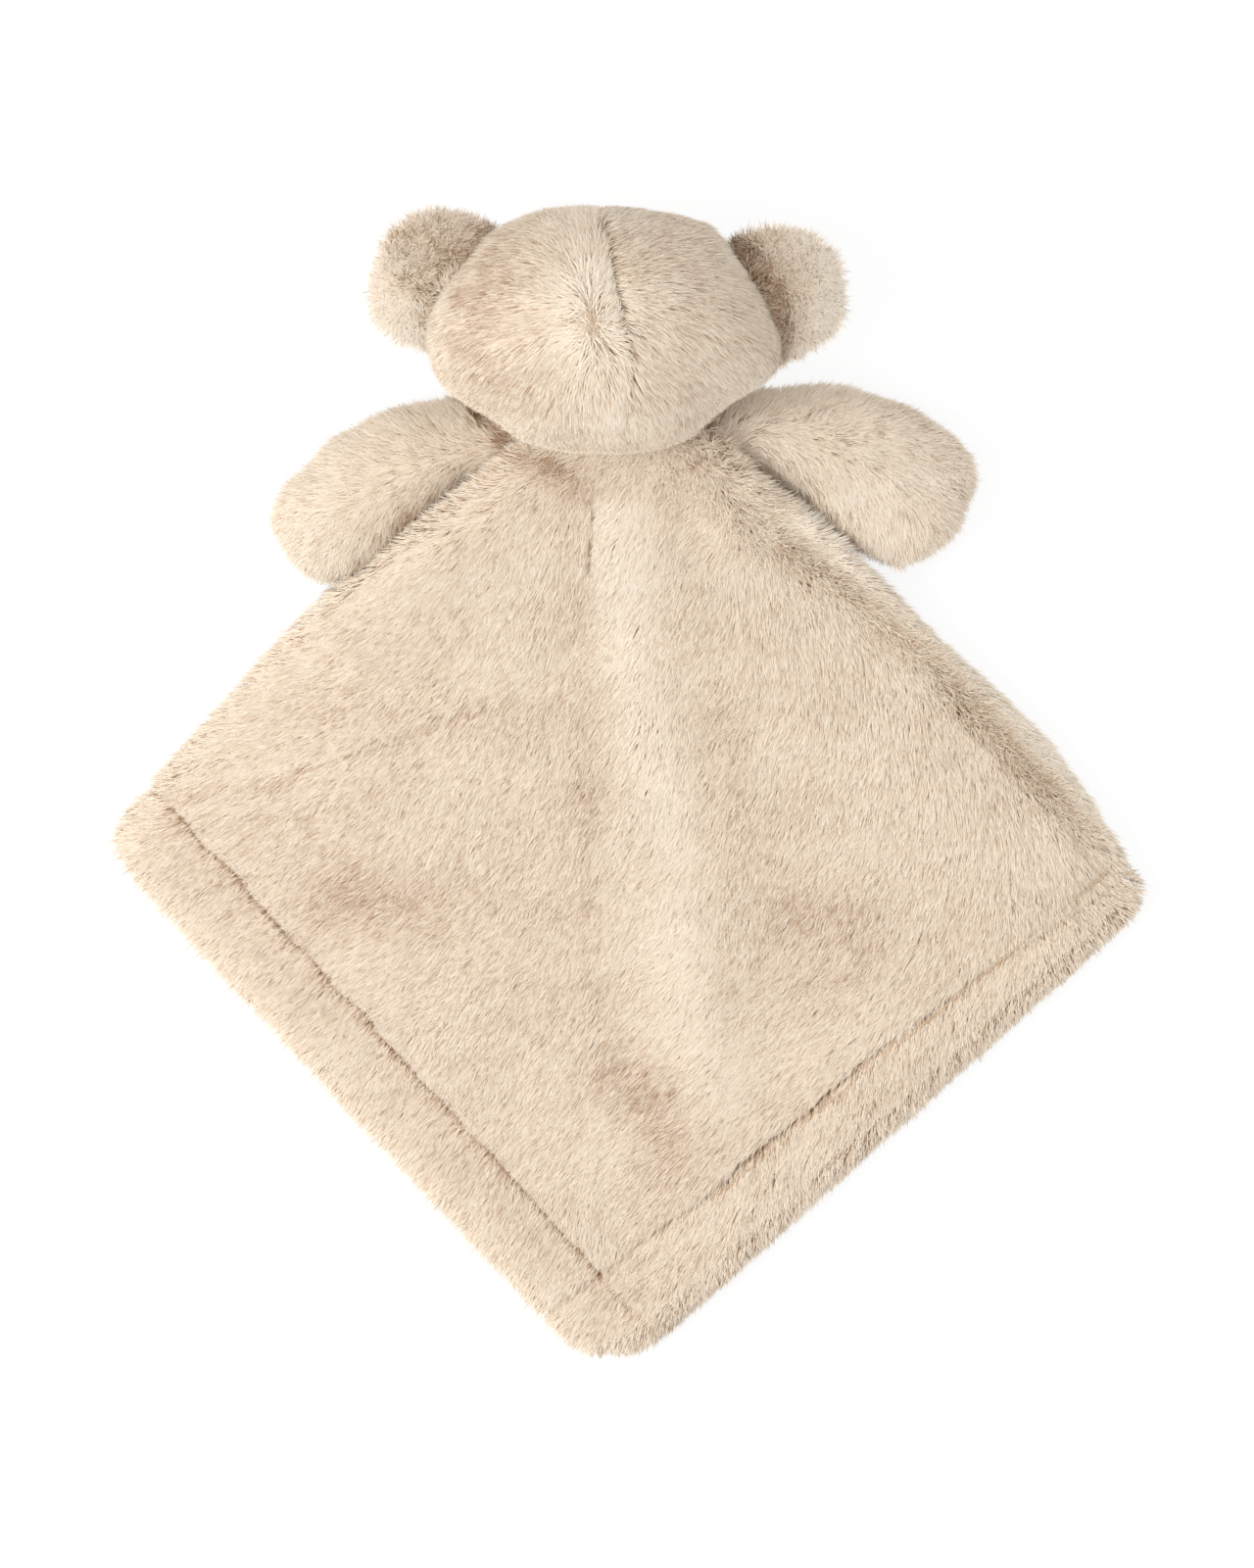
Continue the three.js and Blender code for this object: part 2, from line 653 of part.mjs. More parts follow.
// An ear is two panels of fur cloth, back and front, sewn round the rim
function earPanels(ear) {
  const { pivot, seam, turn, way } = earFrame(ear);
  const centre = pivot.clone().addScaledVector(way, EAR_OUT);
  const radii = new THREE.Vector3(EAR_LENGTH, ear.width, EAR_THICK).divideScalar(2);
  const whole = ball(centre, radii, EAR_STEPS, turn);
  const clear = clearOf(whole, headGrown, pivot, seam, [-EAR_FLAP, 0, EAR_FLAP]);
  const normal = new THREE.Vector3(0, 0, 1).applyQuaternion(turn);
  const half = normal.clone().multiplyScalar(SEAM_GAP / 2);
  return {
    pivot,
    [ear.name + "_back"]: mainBody(clear.intersect(sideOf(centre.clone().add(half), normal))),
    [ear.name + "_front"]: mainBody(
      clear.intersect(sideOf(centre.clone().sub(half), normal.clone().negate())),
    ),
  };
}

// Arms

function armSpine(arm) {
  const last = arm.spine.length - 1;
  const points = arm.spine.map(([x, y], i) => {
    const rise = THREE.MathUtils.lerp(ARM_ROOT_RISE, ARM_THICK / 2 - FLOOR_FLAT, Math.min(1, i / 2));
    return new THREE.Vector3(x, y, i === last ? ARM_THICK / 2 - FLOOR_FLAT : rise);
  });
  return new THREE.CatmullRomCurve3(points);
}

// The arm's form, drawn in from its surface by inset: it swells from the root to the paw
function armForm(arm, inset) {
  const curve = armSpine(arm);
  const length = curve.getLength();
  const [around, stations] = LIMB_STEPS;
  const rings = [];
  for (let i = 1; i < stations; i++) {
    const at = inset + endwise(i / stations) * (length - 2 * inset);
    const share = at / length;
    const middle = curve.getPointAt(share);
    const way = curve.getTangentAt(share);
    const across = new THREE.Vector3(-way.y, way.x, 0).normalize();
    const swell = smooth(ARM_SWELL_FROM, ARM_SWELL_TO, share);
    const round = Math.min(1, Math.min(at - inset, length - inset - at) / (ARM_END - inset / 2));
    const full = Math.sqrt(1 - (1 - round) ** 2);
    const wide = (THREE.MathUtils.lerp(arm.rootWidth, arm.pawWidth, swell) / 2 - inset) * full;
    const high = (THREE.MathUtils.lerp(ARM_ROOT_THICK, ARM_THICK, swell) / 2 - inset) * full;
    rings.push(
      Array.from({ length: around }, (_, j) => {
        const turn = (2 * Math.PI * j) / around;
        const point = middle.clone().addScaledVector(across, wide * Math.cos(turn));
        point.z += high * Math.sin(turn);
        return point;
      }),
    );
  }
  const start = curve.getPointAt(inset / length);
  const end = curve.getPointAt(1 - inset / length);
  return skinned(rings, 0, [start], [end]);
}

function armPivot(arm) {
  return new THREE.Vector3(arm.pivot[0], arm.pivot[1], ARM_ROOT_RISE);
}

function armPanels(arm) {
  const pivot = armPivot(arm);
  const up = new THREE.Vector3(0, 0, 1);
  const swing = [-ARM_LOWER, 0, ARM_RAISE / 2, ARM_RAISE].map((angle) => angle * arm.raise);
  const face = headGrown.add(muzzleGrown);
  const neck = new THREE.Vector3(0, NECK_Y, NECK_Z);
  const sideways = new THREE.Vector3(1, 0, 0);
  const fitted = (form) => {
    const underCloth = clearOf(form.intersect(aboveTable), blanketGrown, pivot, up, swing);
    const left = [0, -NOD_FORWARD / 2, -NOD_FORWARD].reduce(
      (piece, nod) => clearOf(piece, turned(face, neck, sideways, nod), pivot, up, swing),
      underCloth,
    );
    return mainBody(left);
  };
  const whole = armForm(arm, 0);
  const inner = armForm(arm, FUR_WALL);
  const shell = fitted(whole).subtract(inner);
  const spine = armSpine(arm);
  const middle = spine.getPointAt(0.6);
  const chord = spine.getPointAt(1).sub(spine.getPointAt(0)).normalize();
  const normal = up.clone().applyAxisAngle(chord, radians(arm.seamTilt));
  const half = normal.clone().multiplyScalar(SEAM_GAP / 2);
  return {
    pivot,
    [arm.name + "_back"]: mainBody(shell.intersect(sideOf(middle.clone().add(half), normal))),
    [arm.name + "_front"]: mainBody(
      shell.intersect(sideOf(middle.clone().sub(half), normal.clone().negate())),
    ),
    [arm.name + "_filling"]: fitted(armForm(arm, FUR_WALL + SEAM_GAP)),
  };
}

// Assembly

const fur = new THREE.MeshStandardMaterial({ color: "#e3ceb9", roughness: 0.95, metalness: 0 });
const hemFur = new THREE.MeshStandardMaterial({ color: "#e6d2bf", roughness: 0.95, metalness: 0 });
const filling = new THREE.MeshStandardMaterial({ color: "#f2efe9", roughness: 1, metalness: 0 });
const thread = new THREE.MeshStandardMaterial({ color: "#b59c82", roughness: 0.8, metalness: 0 });
const darkThread = new THREE.MeshStandardMaterial({ color: "#4b3527", roughness: 0.6, metalness: 0 });

// A group that turns about its own origin, at pivot, with its pieces in it
function jointed(name, pivot, solids, materialOf) {
  const group = new THREE.Group();
  group.name = name;
  group.position.copy(pivot);
  for (const [node, solid] of Object.entries(solids)) {
    const geometry = geometryOf(solid).translate(-pivot.x, -pivot.y, -pivot.z);
    const mesh = new THREE.Mesh(geometry, materialOf(node));
    mesh.name = node;
    group.add(mesh);
  }
  return group;
}

function materialFor(node) {
  if (node.endsWith("filling")) return filling;
  if (/^(nose|mouth|eye)/.test(node)) return darkThread;
  if (node.startsWith("hem_stitch")) return thread;
  return node.startsWith("hem_band") ? hemFur : fur;
}

const bear = new THREE.Group();
bear.add(
  jointed(
    "blanket",
    new THREE.Vector3(),
    {
      blanket_back: blanketBack,
      blanket_front: blanketFront,
      hem_band_left: hemLeft,
      hem_band_right: hemRight,
      hem_stitch_left: hemStitch(HEM_START_LEFT, HEM_CORNER),
      hem_stitch_right: hemStitch(HEM_START_RIGHT, HEM_CORNER),
    },
    materialFor,
  ),
);

const head = jointed(
  "head",
  new THREE.Vector3(HEAD_X, NECK_Y, NECK_Z),
  { ...headPanels(), ...faceFeatures() },
  materialFor,
);
bear.add(head);

for (const ear of EARS) {
  const { pivot, ...solids } = earPanels(ear);
  bear.add(jointed(ear.name, pivot, solids, materialFor));
}
for (const arm of ARMS) {
  const { pivot, ...solids } = armPanels(arm);
  bear.add(jointed(arm.name, pivot, solids, materialFor));
}

// The origin goes under the middle of the toy, on the table
const reach = new THREE.Box3().setFromObject(bear);
const middle = reach.getCenter(new THREE.Vector3());
bear.position.set(-middle.x, -middle.y, -reach.min.z);

export default bear;
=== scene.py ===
"""A baby's comforter with a teddy bear's head and arms, lying on its face, seen from straight above."""

import math

import bmesh
import bpy
import numpy as np
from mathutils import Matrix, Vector
from mathutils.bvhtree import BVHTree
from mathutils.geometry import convex_hull_2d


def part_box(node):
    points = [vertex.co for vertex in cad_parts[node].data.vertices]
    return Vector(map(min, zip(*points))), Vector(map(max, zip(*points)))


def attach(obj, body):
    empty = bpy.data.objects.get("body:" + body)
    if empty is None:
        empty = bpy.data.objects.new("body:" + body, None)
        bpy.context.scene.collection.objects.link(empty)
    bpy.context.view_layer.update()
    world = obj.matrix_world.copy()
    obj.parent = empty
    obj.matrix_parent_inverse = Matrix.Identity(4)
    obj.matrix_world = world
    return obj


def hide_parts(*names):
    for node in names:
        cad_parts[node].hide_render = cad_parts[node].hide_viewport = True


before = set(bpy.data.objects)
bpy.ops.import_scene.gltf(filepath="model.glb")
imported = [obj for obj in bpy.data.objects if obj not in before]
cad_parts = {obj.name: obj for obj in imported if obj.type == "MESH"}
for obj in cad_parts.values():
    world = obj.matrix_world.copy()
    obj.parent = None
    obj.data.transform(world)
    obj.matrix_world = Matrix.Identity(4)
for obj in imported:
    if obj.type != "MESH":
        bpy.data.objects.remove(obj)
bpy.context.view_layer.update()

MM = 0.001
SEED = 41
LOWEST = 0.0001  # height over the table, in m, that no strand goes below
FACE_FEATURES = ("nose", "mouth_stitch", "eye_left", "eye_right")
MATERIALS = {}  # of the two slots of fur, and of the cloth under it

PILE = 8.0  # length of the fur in mm, as cut
FUR_DEPTH = 4.7  # from the blanket's plain solids down to the cloth that its fur grows from, in mm
LEAST_THICKNESS = 2.6  # of the cloth's form, in mm, where the solids are thin
TOUCHING, APART = 2, 7  # gaps in mm between which a cloth stops reaching for a neighbour's
MOST_SWELL = 1.2  # how far the pressure of a filling may move its cloth, in mm
SWELL_STEPS = 20

BLANKET_LOCKS = 1.3  # to a square mm
STRANDS_TO_A_LOCK = 8
LOCK_WIDTH = 0.62  # from the middle of a lock to its outer strands, in mm
LOOSE_SHARE = 0.45  # of the strands aren't drawn to the middle of their lock
UNRULY_SHARE = 0.05  # of the strands are longer than the others
HIDDEN_SHARE = 0.5  # of the strands are grown where a stuffed piece faces the table
UNDER_SHARE = 0.2  # of the strands are grown on the blanket's front, which is pressed to the table
OVER_SEAMS = (2.8, 6.0)  # how far the blanket's tips may hang over the left and the right hem's seam, in mm
RISE_ON_BLANKET = 5.9  # how far the strands' tips stand out from their cloth, in mm
RISE_ON_STUFFED = 5.2
RISE_UNDER_BLANKET = 3.6
MOST_BLADES = 98_000  # to a piece


# Camera, light and floor

PHOTO_SIZE = (1280, 1600)
PIXELS_PER_MM = 3.59
CAMERA_HEIGHT = 3.0
AIM = Vector((-1.35, -0.81, 0)) * MM
TABLE_SCALE_LEVEL = 0.012  # height at which the photograph's scale was measured
SHADOW_SHARE = 0.14  # how much of the light on the floor the camera sees, which holds the shadow
SKY_STRENGTH = 0.66
FLOOR_WHITE = 1.04  # strength of the floor's glow, which makes plain white with that share of light


def srgb(red, green, blue):
    """A colour given as 0 to 255, for a shader socket."""
    def linear(value):
        value /= 255
        return value / 12.92 if value <= 0.04045 else ((value + 0.055) / 1.055) ** 2.4
    return (linear(red), linear(green), linear(blue), 1)


def add_object(name, data):
    thing = bpy.data.objects.new(name, data)
    bpy.context.scene.collection.objects.link(thing)
    return thing


def add_camera():
    data = bpy.data.cameras.new("camera")
    camera = add_object("camera", data)
    camera.location = (*AIM.xy, CAMERA_HEIGHT)
    data.sensor_fit = "VERTICAL"
    data.sensor_height = 24
    seen_height = PHOTO_SIZE[1] / PIXELS_PER_MM * MM
    data.lens = data.sensor_height * (CAMERA_HEIGHT - TABLE_SCALE_LEVEL) / seen_height
    data.clip_start = 0.05
    data.clip_end = 20
    bpy.context.scene.camera = camera


def add_softbox(name, place, size, watts):
    data = bpy.data.lights.new(name, "AREA")
    data.shape = "DISK"
    data.size = size
    data.energy = watts
    lamp = add_object(name, data)
    lamp.location = place
    aim = Vector((0, 0, 0.02)) - lamp.location
    lamp.rotation_euler = aim.to_track_quat("-Z", "Y").to_euler()


def set_inputs(node, **values):
    """Sets a node's inputs by their names, with _ for a space."""
    for name, value in values.items():
        node.inputs[name.replace("_", " ")].default_value = value


def add_node(tree, kind, **values):
    node = tree.nodes.new(f"ShaderNode{kind}")
    set_inputs(node, **values)
    return node


def link(node, output, to, into):
    """Links a node's output to an input of another node, each by its name or number."""
    node.id_data.links.new(node.outputs[output], to.inputs[into])


def new_material(name):
    """A material and its tree of nodes."""
    material = bpy.data.materials.new(name)
    material.use_nodes = True
    return material, material.node_tree


def seen_directly(tree):
    """A node that gives 1 where the camera looks, also by way of a reflection or through glass, and 0 for
    light that falls."""
    path = add_node(tree, "LightPath")
    seen, output = path, "Is Camera Ray"
    for ray in ("Is Glossy Ray", "Is Transmission Ray"):
        either = add_node(tree, "Math")
        either.operation = "MAXIMUM"
        link(seen, output, either, 0)
        link(path, ray, either, 1)
        seen, output = either, 0
    return seen


def mix_shaders(tree, share, first, second, out):
    """Gives out the first shader where the share is 0, and the second where it is 1."""
    mix = add_node(tree, "MixShader")
    link(share, 0, mix, "Fac")
    link(first, 0, mix, 1)
    link(second, 0, mix, 2)
    link(mix, 0, out, "Surface")


def add_studio():
    scene = bpy.context.scene
    scene.view_settings.view_transform = "Standard"
    world = bpy.data.worlds.new("studio")
    scene.world = world
    world.use_nodes = True
    tree = world.node_tree
    tree.nodes.clear()
    out = add_node(tree, "OutputWorld")
    seen = add_node(tree, "Background", Color=(1, 1, 1, 1), Strength=1.0)
    light = add_node(tree, "Background", Color=(1.0, 0.985, 0.965, 1), Strength=SKY_STRENGTH)
    mix_shaders(tree, seen_directly(tree), light, seen, out)
    add_softbox("key from the left", (-1.15, -0.25, 1.45), 1.0, 20)
    add_softbox("fill from above", (0.2, 0.1, 2.3), 1.6, 11)


def floor_material():
    """White to the camera, apart from a share of the light that falls on it."""
    material, tree = new_material("white studio floor")
    tree.nodes.clear()
    out = add_node(tree, "OutputMaterial")
    lit = add_node(tree, "BsdfDiffuse", Color=(0.9, 0.9, 0.9, 1))
    white = add_node(tree, "Emission", Strength=FLOOR_WHITE)
    share = add_node(tree, "Math")
    share.operation = "MULTIPLY"
    share.inputs[1].default_value = 1 - SHADOW_SHARE
    link(seen_directly(tree), 0, share, 0)
    mix_shaders(tree, share, lit, white, out)
    return material


def add_floor():
    """It lies a hair below the table's level, so that no piece shares its plane."""
    deselect_all()
    bpy.ops.mesh.primitive_plane_add(size=12, location=(0, 0, -0.0002))
    floor = bpy.context.view_layer.objects.active
    floor.name = "floor"
    floor.data.materials.append(floor_material())


# Materials

def ramp(tree, value, output, stops):
    """A node whose colour goes by what another node's output gives."""
    node = add_node(tree, "ValToRGB")
    elements = node.color_ramp.elements
    while len(elements) > 1:
        elements.remove(elements[0])
    elements[0].position, elements[0].color = stops[0]
    for place, colour in stops[1:]:
        elements.new(place).color = colour
    link(value, output, node, "Fac")
    return node


def fur_material(name):
    """Faux fur: along a strand from its brown root to its pale tip, the brown partly the fur's own and partly
    painted shade deep in the pile, and by how pale the strand is.
    """
    material, tree = new_material(name)
    shader = tree.nodes["Principled BSDF"]
    set_inputs(shader, Roughness=0.75, Specular_IOR_Level=0.25, Sheen_Weight=0.1)
    where = add_node(tree, "UVMap")
    where.uv_map = "OFBake"
    split = add_node(tree, "SeparateXYZ")
    link(where, "UV", split, 0)
    along = ramp(tree, split, "Y", [
        (0.0, srgb(166, 130, 100)),
        (0.3, srgb(218, 190, 160)),
        (0.62, srgb(248, 234, 216)),
        (0.85, srgb(255, 249, 238)),
        (1.0, srgb(255, 252, 246)),
    ])
    # By paleness: the brown low end is reached mostly by painted shade in creases and hollows, the middle is
    # the fur's own tone
    tone = ramp(tree, split, "X", [
        (0.0, srgb(88, 56, 34)),
        (0.25, srgb(178, 142, 108)),
        (0.5, srgb(246, 238, 228)),
        (0.75, srgb(255, 252, 248)),
        (1.0, srgb(255, 255, 255)),
    ])
    both = add_node(tree, "Mix")
    both.data_type = "RGBA"
    both.blend_type = "MULTIPLY"
    set_inputs(both, Factor=1)
    link(along, "Color", both, "A")
    link(tone, "Color", both, "B")
    link(both, "Result", shader, "Base Color")
    return material


def backing_material():
    """The knitted cloth that the fur grows from, seen only deep between strands."""
    material, tree = new_material("knitted backing")
    shader = tree.nodes["Principled BSDF"]
    set_inputs(shader, Roughness=0.9)
    where = add_node(tree, "TexCoord")
    noise = add_node(tree, "TexNoise", Scale=900)
    link(where, "Object", noise, "Vector")
    colour = ramp(tree, noise, "Fac", [(0.3, srgb(206, 178, 148)), (0.7, srgb(230, 206, 180))])
    link(colour, "Color", shader, "Base Color")
    return material


WAVE_LENGTH = 2 * math.pi / 20  # of a wave texture at scale 1, in m


def stitched_material(name, dark, light, thread_mm, turn, roughness):
    """Rows of thread laid side by side, thread_mm apart, across the way that turn gives, in degrees."""
    material, tree = new_material(name)
    shader = tree.nodes["Principled BSDF"]
    set_inputs(shader, Roughness=roughness, Specular_IOR_Level=0.4)
    where = add_node(tree, "TexCoord")
    turned = add_node(tree, "Mapping", Rotation=(0, 0, math.radians(turn)))
    rows = add_node(tree, "TexWave", Scale=WAVE_LENGTH / (thread_mm * MM), Distortion=1.2, Detail=2,
                    Detail_Scale=0.4)
    twist = add_node(tree, "TexNoise", Scale=2600, Detail=3)
    link(where, "Object", turned, "Vector")
    link(turned, "Vector", rows, "Vector")
    link(where, "Object", twist, "Vector")
    both = add_node(tree, "Mix", Factor=0.35)
    link(rows, "Fac", both, "A")
    link(twist, "Fac", both, "B")
    colour = ramp(tree, both, "Result", [(0.15, dark), (0.8, light)])
    link(colour, "Color", shader, "Base Color")
    raised = add_node(tree, "Bump", Strength=0.6, Distance=thread_mm * 0.35 * MM)
    link(both, "Result", raised, "Height")
    link(raised, "Normal", shader, "Normal")
    return material


def finish_stitching():
    """The stitched pieces keep their plain solids' shapes, and get thread to show."""
    brown, dark = (srgb(172, 142, 112), srgb(214, 188, 158)), (srgb(34, 22, 16), srgb(88, 64, 48))
    satin = {"thread_mm": 0.42, "roughness": 0.4}
    hem_thread = stitched_material("brown sewing thread", *brown, thread_mm=0.35, turn=45, roughness=0.7)
    nose_thread = stitched_material("dark satin stitch, upright", *dark, turn=0, **satin)
    eye_thread = stitched_material("dark satin stitch, level", *dark, turn=90, **satin)
    for node, material in (
        ("hem_stitch_left", hem_thread), ("hem_stitch_right", hem_thread), ("nose", nose_thread),
        ("mouth_stitch", eye_thread), ("eye_left", eye_thread), ("eye_right", eye_thread),
    ):
        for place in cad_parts[node].material_slots:
            place.material = material


# Cloth under the fur

def deselect_all():
    bpy.ops.object.select_all(action="DESELECT")


def make_active(piece):
    deselect_all()
    piece.select_set(True)
    bpy.context.view_layer.objects.active = piece


def merged_copy(name, solids):
    """One mesh from copies of the plain solids."""
    deselect_all()
    for solid in solids:
        copy = add_object(name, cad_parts[solid].data.copy())
        copy.select_set(True)
        bpy.context.view_layer.objects.active = copy
    if len(solids) > 1:
        bpy.ops.object.join()
    piece = bpy.context.view_layer.objects.active
    piece.data.materials.clear()
    bpy.ops.object.mode_set(mode="EDIT")
    bpy.ops.mesh.select_all(action="SELECT")
    bpy.ops.mesh.remove_doubles(threshold=0.01 * MM)
    bpy.ops.object.mode_set(mode="OBJECT")
    return piece


def apply_new(piece, kind, **settings):
    make_active(piece)
    modifier = piece.modifiers.new(kind.lower(), kind)
    for key, value in settings.items():
        setattr(modifier, key, value)
    bpy.ops.object.modifier_apply(modifier=modifier.name)


def keep_largest_part(piece):
    """Drops specks that a remesh leaves in the gaps between the solids."""
    mesh = bmesh.new()
    mesh.from_mesh(piece.data)
    unseen, parts = set(mesh.verts), []
    while unseen:
        start = unseen.pop()
        part, edge = [start], [start]
        while edge:
            for spoke in edge.pop().link_edges:
                for vertex in spoke.verts:
                    if vertex in unseen:
                        unseen.discard(vertex)
                        part.append(vertex)
                        edge.append(vertex)
        parts.append(part)
    parts.sort(key=len)
    for part in parts[:-1]:
        bmesh.ops.delete(mesh, geom=part, context="VERTS")
    mesh.to_mesh(piece.data)
    mesh.free()


def points_and_normals(piece):
    def read(source, kind):
        values = np.empty(len(source) * 3, np.float32)
        source.foreach_get(kind, values)
        return values.reshape(-1, 3).astype(float)
    return read(piece.data.vertices, "co"), read(piece.data.vertex_normals, "vector")


def set_points(piece, points):
    piece.data.vertices.foreach_set("co", points.astype(np.float32).ravel())
    piece.data.update()


def surface_of(piece):
    mesh = piece.data
    return BVHTree.FromPolygons([v.co for v in mesh.vertices], [p.vertices for p in mesh.polygons])


def eased(share):
    """A share from 0 to 1 with a soft start and a soft end."""
    return share * share * (3 - 2 * share)


def gap_to_features(points, reach):
    """How far points are from the stitched features of the face, and reach where that is more."""
    gap = np.full(len(points), reach)
    for node in FACE_FEATURES:
        feature = surface_of(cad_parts[node])
        for i, point in enumerate(points):
            near = feature.find_nearest(Vector(point), reach)
            if near[0] is not None:
                gap[i] = min(gap[i], near[3])
    return gap


def near_features(points, reach=9 * MM):
    """1 on the stitched features of the face, fading to 0 at a distance of reach."""
    return eased(1 - gap_to_features(points, reach) / reach)


def draw_in(piece, depth, edge_share, meets, face):
    """Moves the surface in by depth, or by less where the form is thin, and by the share edge_share of it on
    upright edges. Where it touches the solids that it meets, it reaches through their fur to their cloth
    instead. The features of a face are sewn on the cloth, so there it hardly moves."""
    points, normals = points_and_normals(piece)
    tree = surface_of(piece)
    half = np.empty(len(points))
    for i, (point, normal) in enumerate(zip(points, normals)):
        inward = -Vector(normal)
        hit = tree.ray_cast(Vector(point) + inward * 0.1 * MM, inward)
        half[i] = hit[3] / 2 if hit[0] is not None else depth
    steep = 1 - np.abs(normals[:, 2])
    wanted = depth * (1 - steep * (1 - edge_share))
    if face:
        wanted *= 1 - 0.9 * near_features(points)
    inset = np.minimum(np.maximum(half - LEAST_THICKNESS * MM / 2, 0.2 * MM), wanted)
    moved = points - normals * inset[:, None]
    for solid in meets:
        neighbour = surface_of(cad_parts[solid])
        for i, point in enumerate(points):
            near, way, _, gap = neighbour.find_nearest(Vector(point), APART * MM)
            if near is None:
                continue
            share = 1 - min(1, max(0, (gap / MM - TOUCHING) / (APART - TOUCHING)))
            reached = np.array(near - way * depth * 1.1)
            moved[i] += (reached - moved[i]) * eased(share)
    set_points(piece, moved)


def cloth_form(name, solids, voxel=2.0, depth=FUR_DEPTH, edge_share=1.0, meets=(), reshape=None, face=False):
    """The cloth under the fur of the named solids."""
    piece = merged_copy(name, solids)
    piece.name = name
    apply_new(piece, "REMESH", mode="VOXEL", voxel_size=voxel * MM)
    keep_largest_part(piece)
    apply_new(piece, "SMOOTH", iterations=6)
    if reshape:
        set_points(piece, reshape(points_and_normals(piece)[0]))
    draw_in(piece, depth * MM, edge_share, meets, face)
    apply_new(piece, "SMOOTH", iterations=4)
    make_active(piece)
    bpy.ops.object.shade_smooth()
    return piece


def stand_for(cloth, body, solids):
    """Puts the cloth in place of the solids that it was made from."""
    cloth.data.materials.append(MATERIALS["backing"])
    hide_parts(*solids)
    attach(cloth, body)


# Fur

def unit(vectors):
    return vectors / np.maximum(np.linalg.norm(vectors, axis=1, keepdims=True), 1e-12)


def faces_down(out, by):
    """Where the way out of the cloth points down by more than by, which is 1 for straight down."""
    return out[:, 2] < -by


def wander(points, scale, seed):
    """A smooth value from about -1 to 1 that changes over scale mm."""
    chance = np.random.default_rng(seed)
    total = np.zeros(len(points))
    for _ in range(5):
        way = chance.normal(size=3)
        way /= np.linalg.norm(way)
        total += np.sin(points @ way / (scale * MM) * 2 * math.pi + chance.uniform(0, 6.28))
    return total / 2.4


def grow_from(cloth, per_mm2, chance):
    """Points spread evenly over the cloth, no two of them close together, with the way out of it at each."""
    mesh = cloth.data
    mesh.calc_loop_triangles()
    corners = np.empty(len(mesh.loop_triangles) * 3, np.int32)
    mesh.loop_triangles.foreach_get("vertices", corners)
    corners = corners.reshape(-1, 3)
    points, normals = points_and_normals(cloth)
    a, b, c = (points[corners[:, i]] for i in range(3))
    area = np.linalg.norm(np.cross(b - a, c - a), axis=1) / 2
    count = int(area.sum() / MM**2 * per_mm2 * 3)
    share_of_area = (np.arange(count) + chance.random(count)) / count
    picked = np.searchsorted(np.cumsum(area) / area.sum(), share_of_area)
    picked = np.clip(picked, 0, len(area) - 1)
    u, v = chance.random(count), chance.random(count)
    over = u + v > 1
    u[over], v[over] = 1 - u[over], 1 - v[over]
    w = 1 - u - v
    share = (w[:, None], u[:, None], v[:, None])
    def blend(values):
        return sum(values[corners[picked, i]] * share[i] for i in range(3))
    place, out = blend(points), unit(blend(normals))
    # Of the points in each small cube, the first is kept.
    cell = np.floor(place / (MM / math.sqrt(per_mm2 * 1.1))).astype(np.int64)
    number = cell[:, 0] * 4_000_037 + cell[:, 1] * 2003 + cell[:, 2]
    first = np.sort(np.unique(number, return_index=True)[1])
    return place[first], out[first]


def lie_of(points, guides, reach=22):
    """Which way the fur lies in plan, in radians, from nearby guides of (x, y, degrees), and how far they
    agree, from 0 where the fur parts to 1."""
    x, y = points[:, 0] / MM, points[:, 1] / MM
    east, north, total = np.zeros((3, len(points)))
    for gx, gy, degrees in guides:
        weight = 1 / ((x - gx) ** 2 + (y - gy) ** 2 + reach**2 * 0.15) ** 1.6
        east += weight * math.cos(math.radians(degrees))
        north += weight * math.sin(math.radians(degrees))
        total += weight
    return np.arctan2(north, east), np.clip(np.hypot(north, east) / total, 0, 1)


def ruffled(agreement):
    """How far the fur is ruffled, from 0 to 1: where it parts, strands point all ways and hide the cloth."""
    return np.clip((0.9 - agreement) / 0.5, 0, 1)


def along_cloth(angle, out, fall):
    """The way that fur lies over the cloth: by its angle in plan, and down where the cloth is steep."""
    way = np.stack([np.cos(angle), np.sin(angle), -fall * np.ones(len(angle))], 1)
    return unit(way - out * (way * out).sum(1, keepdims=True))


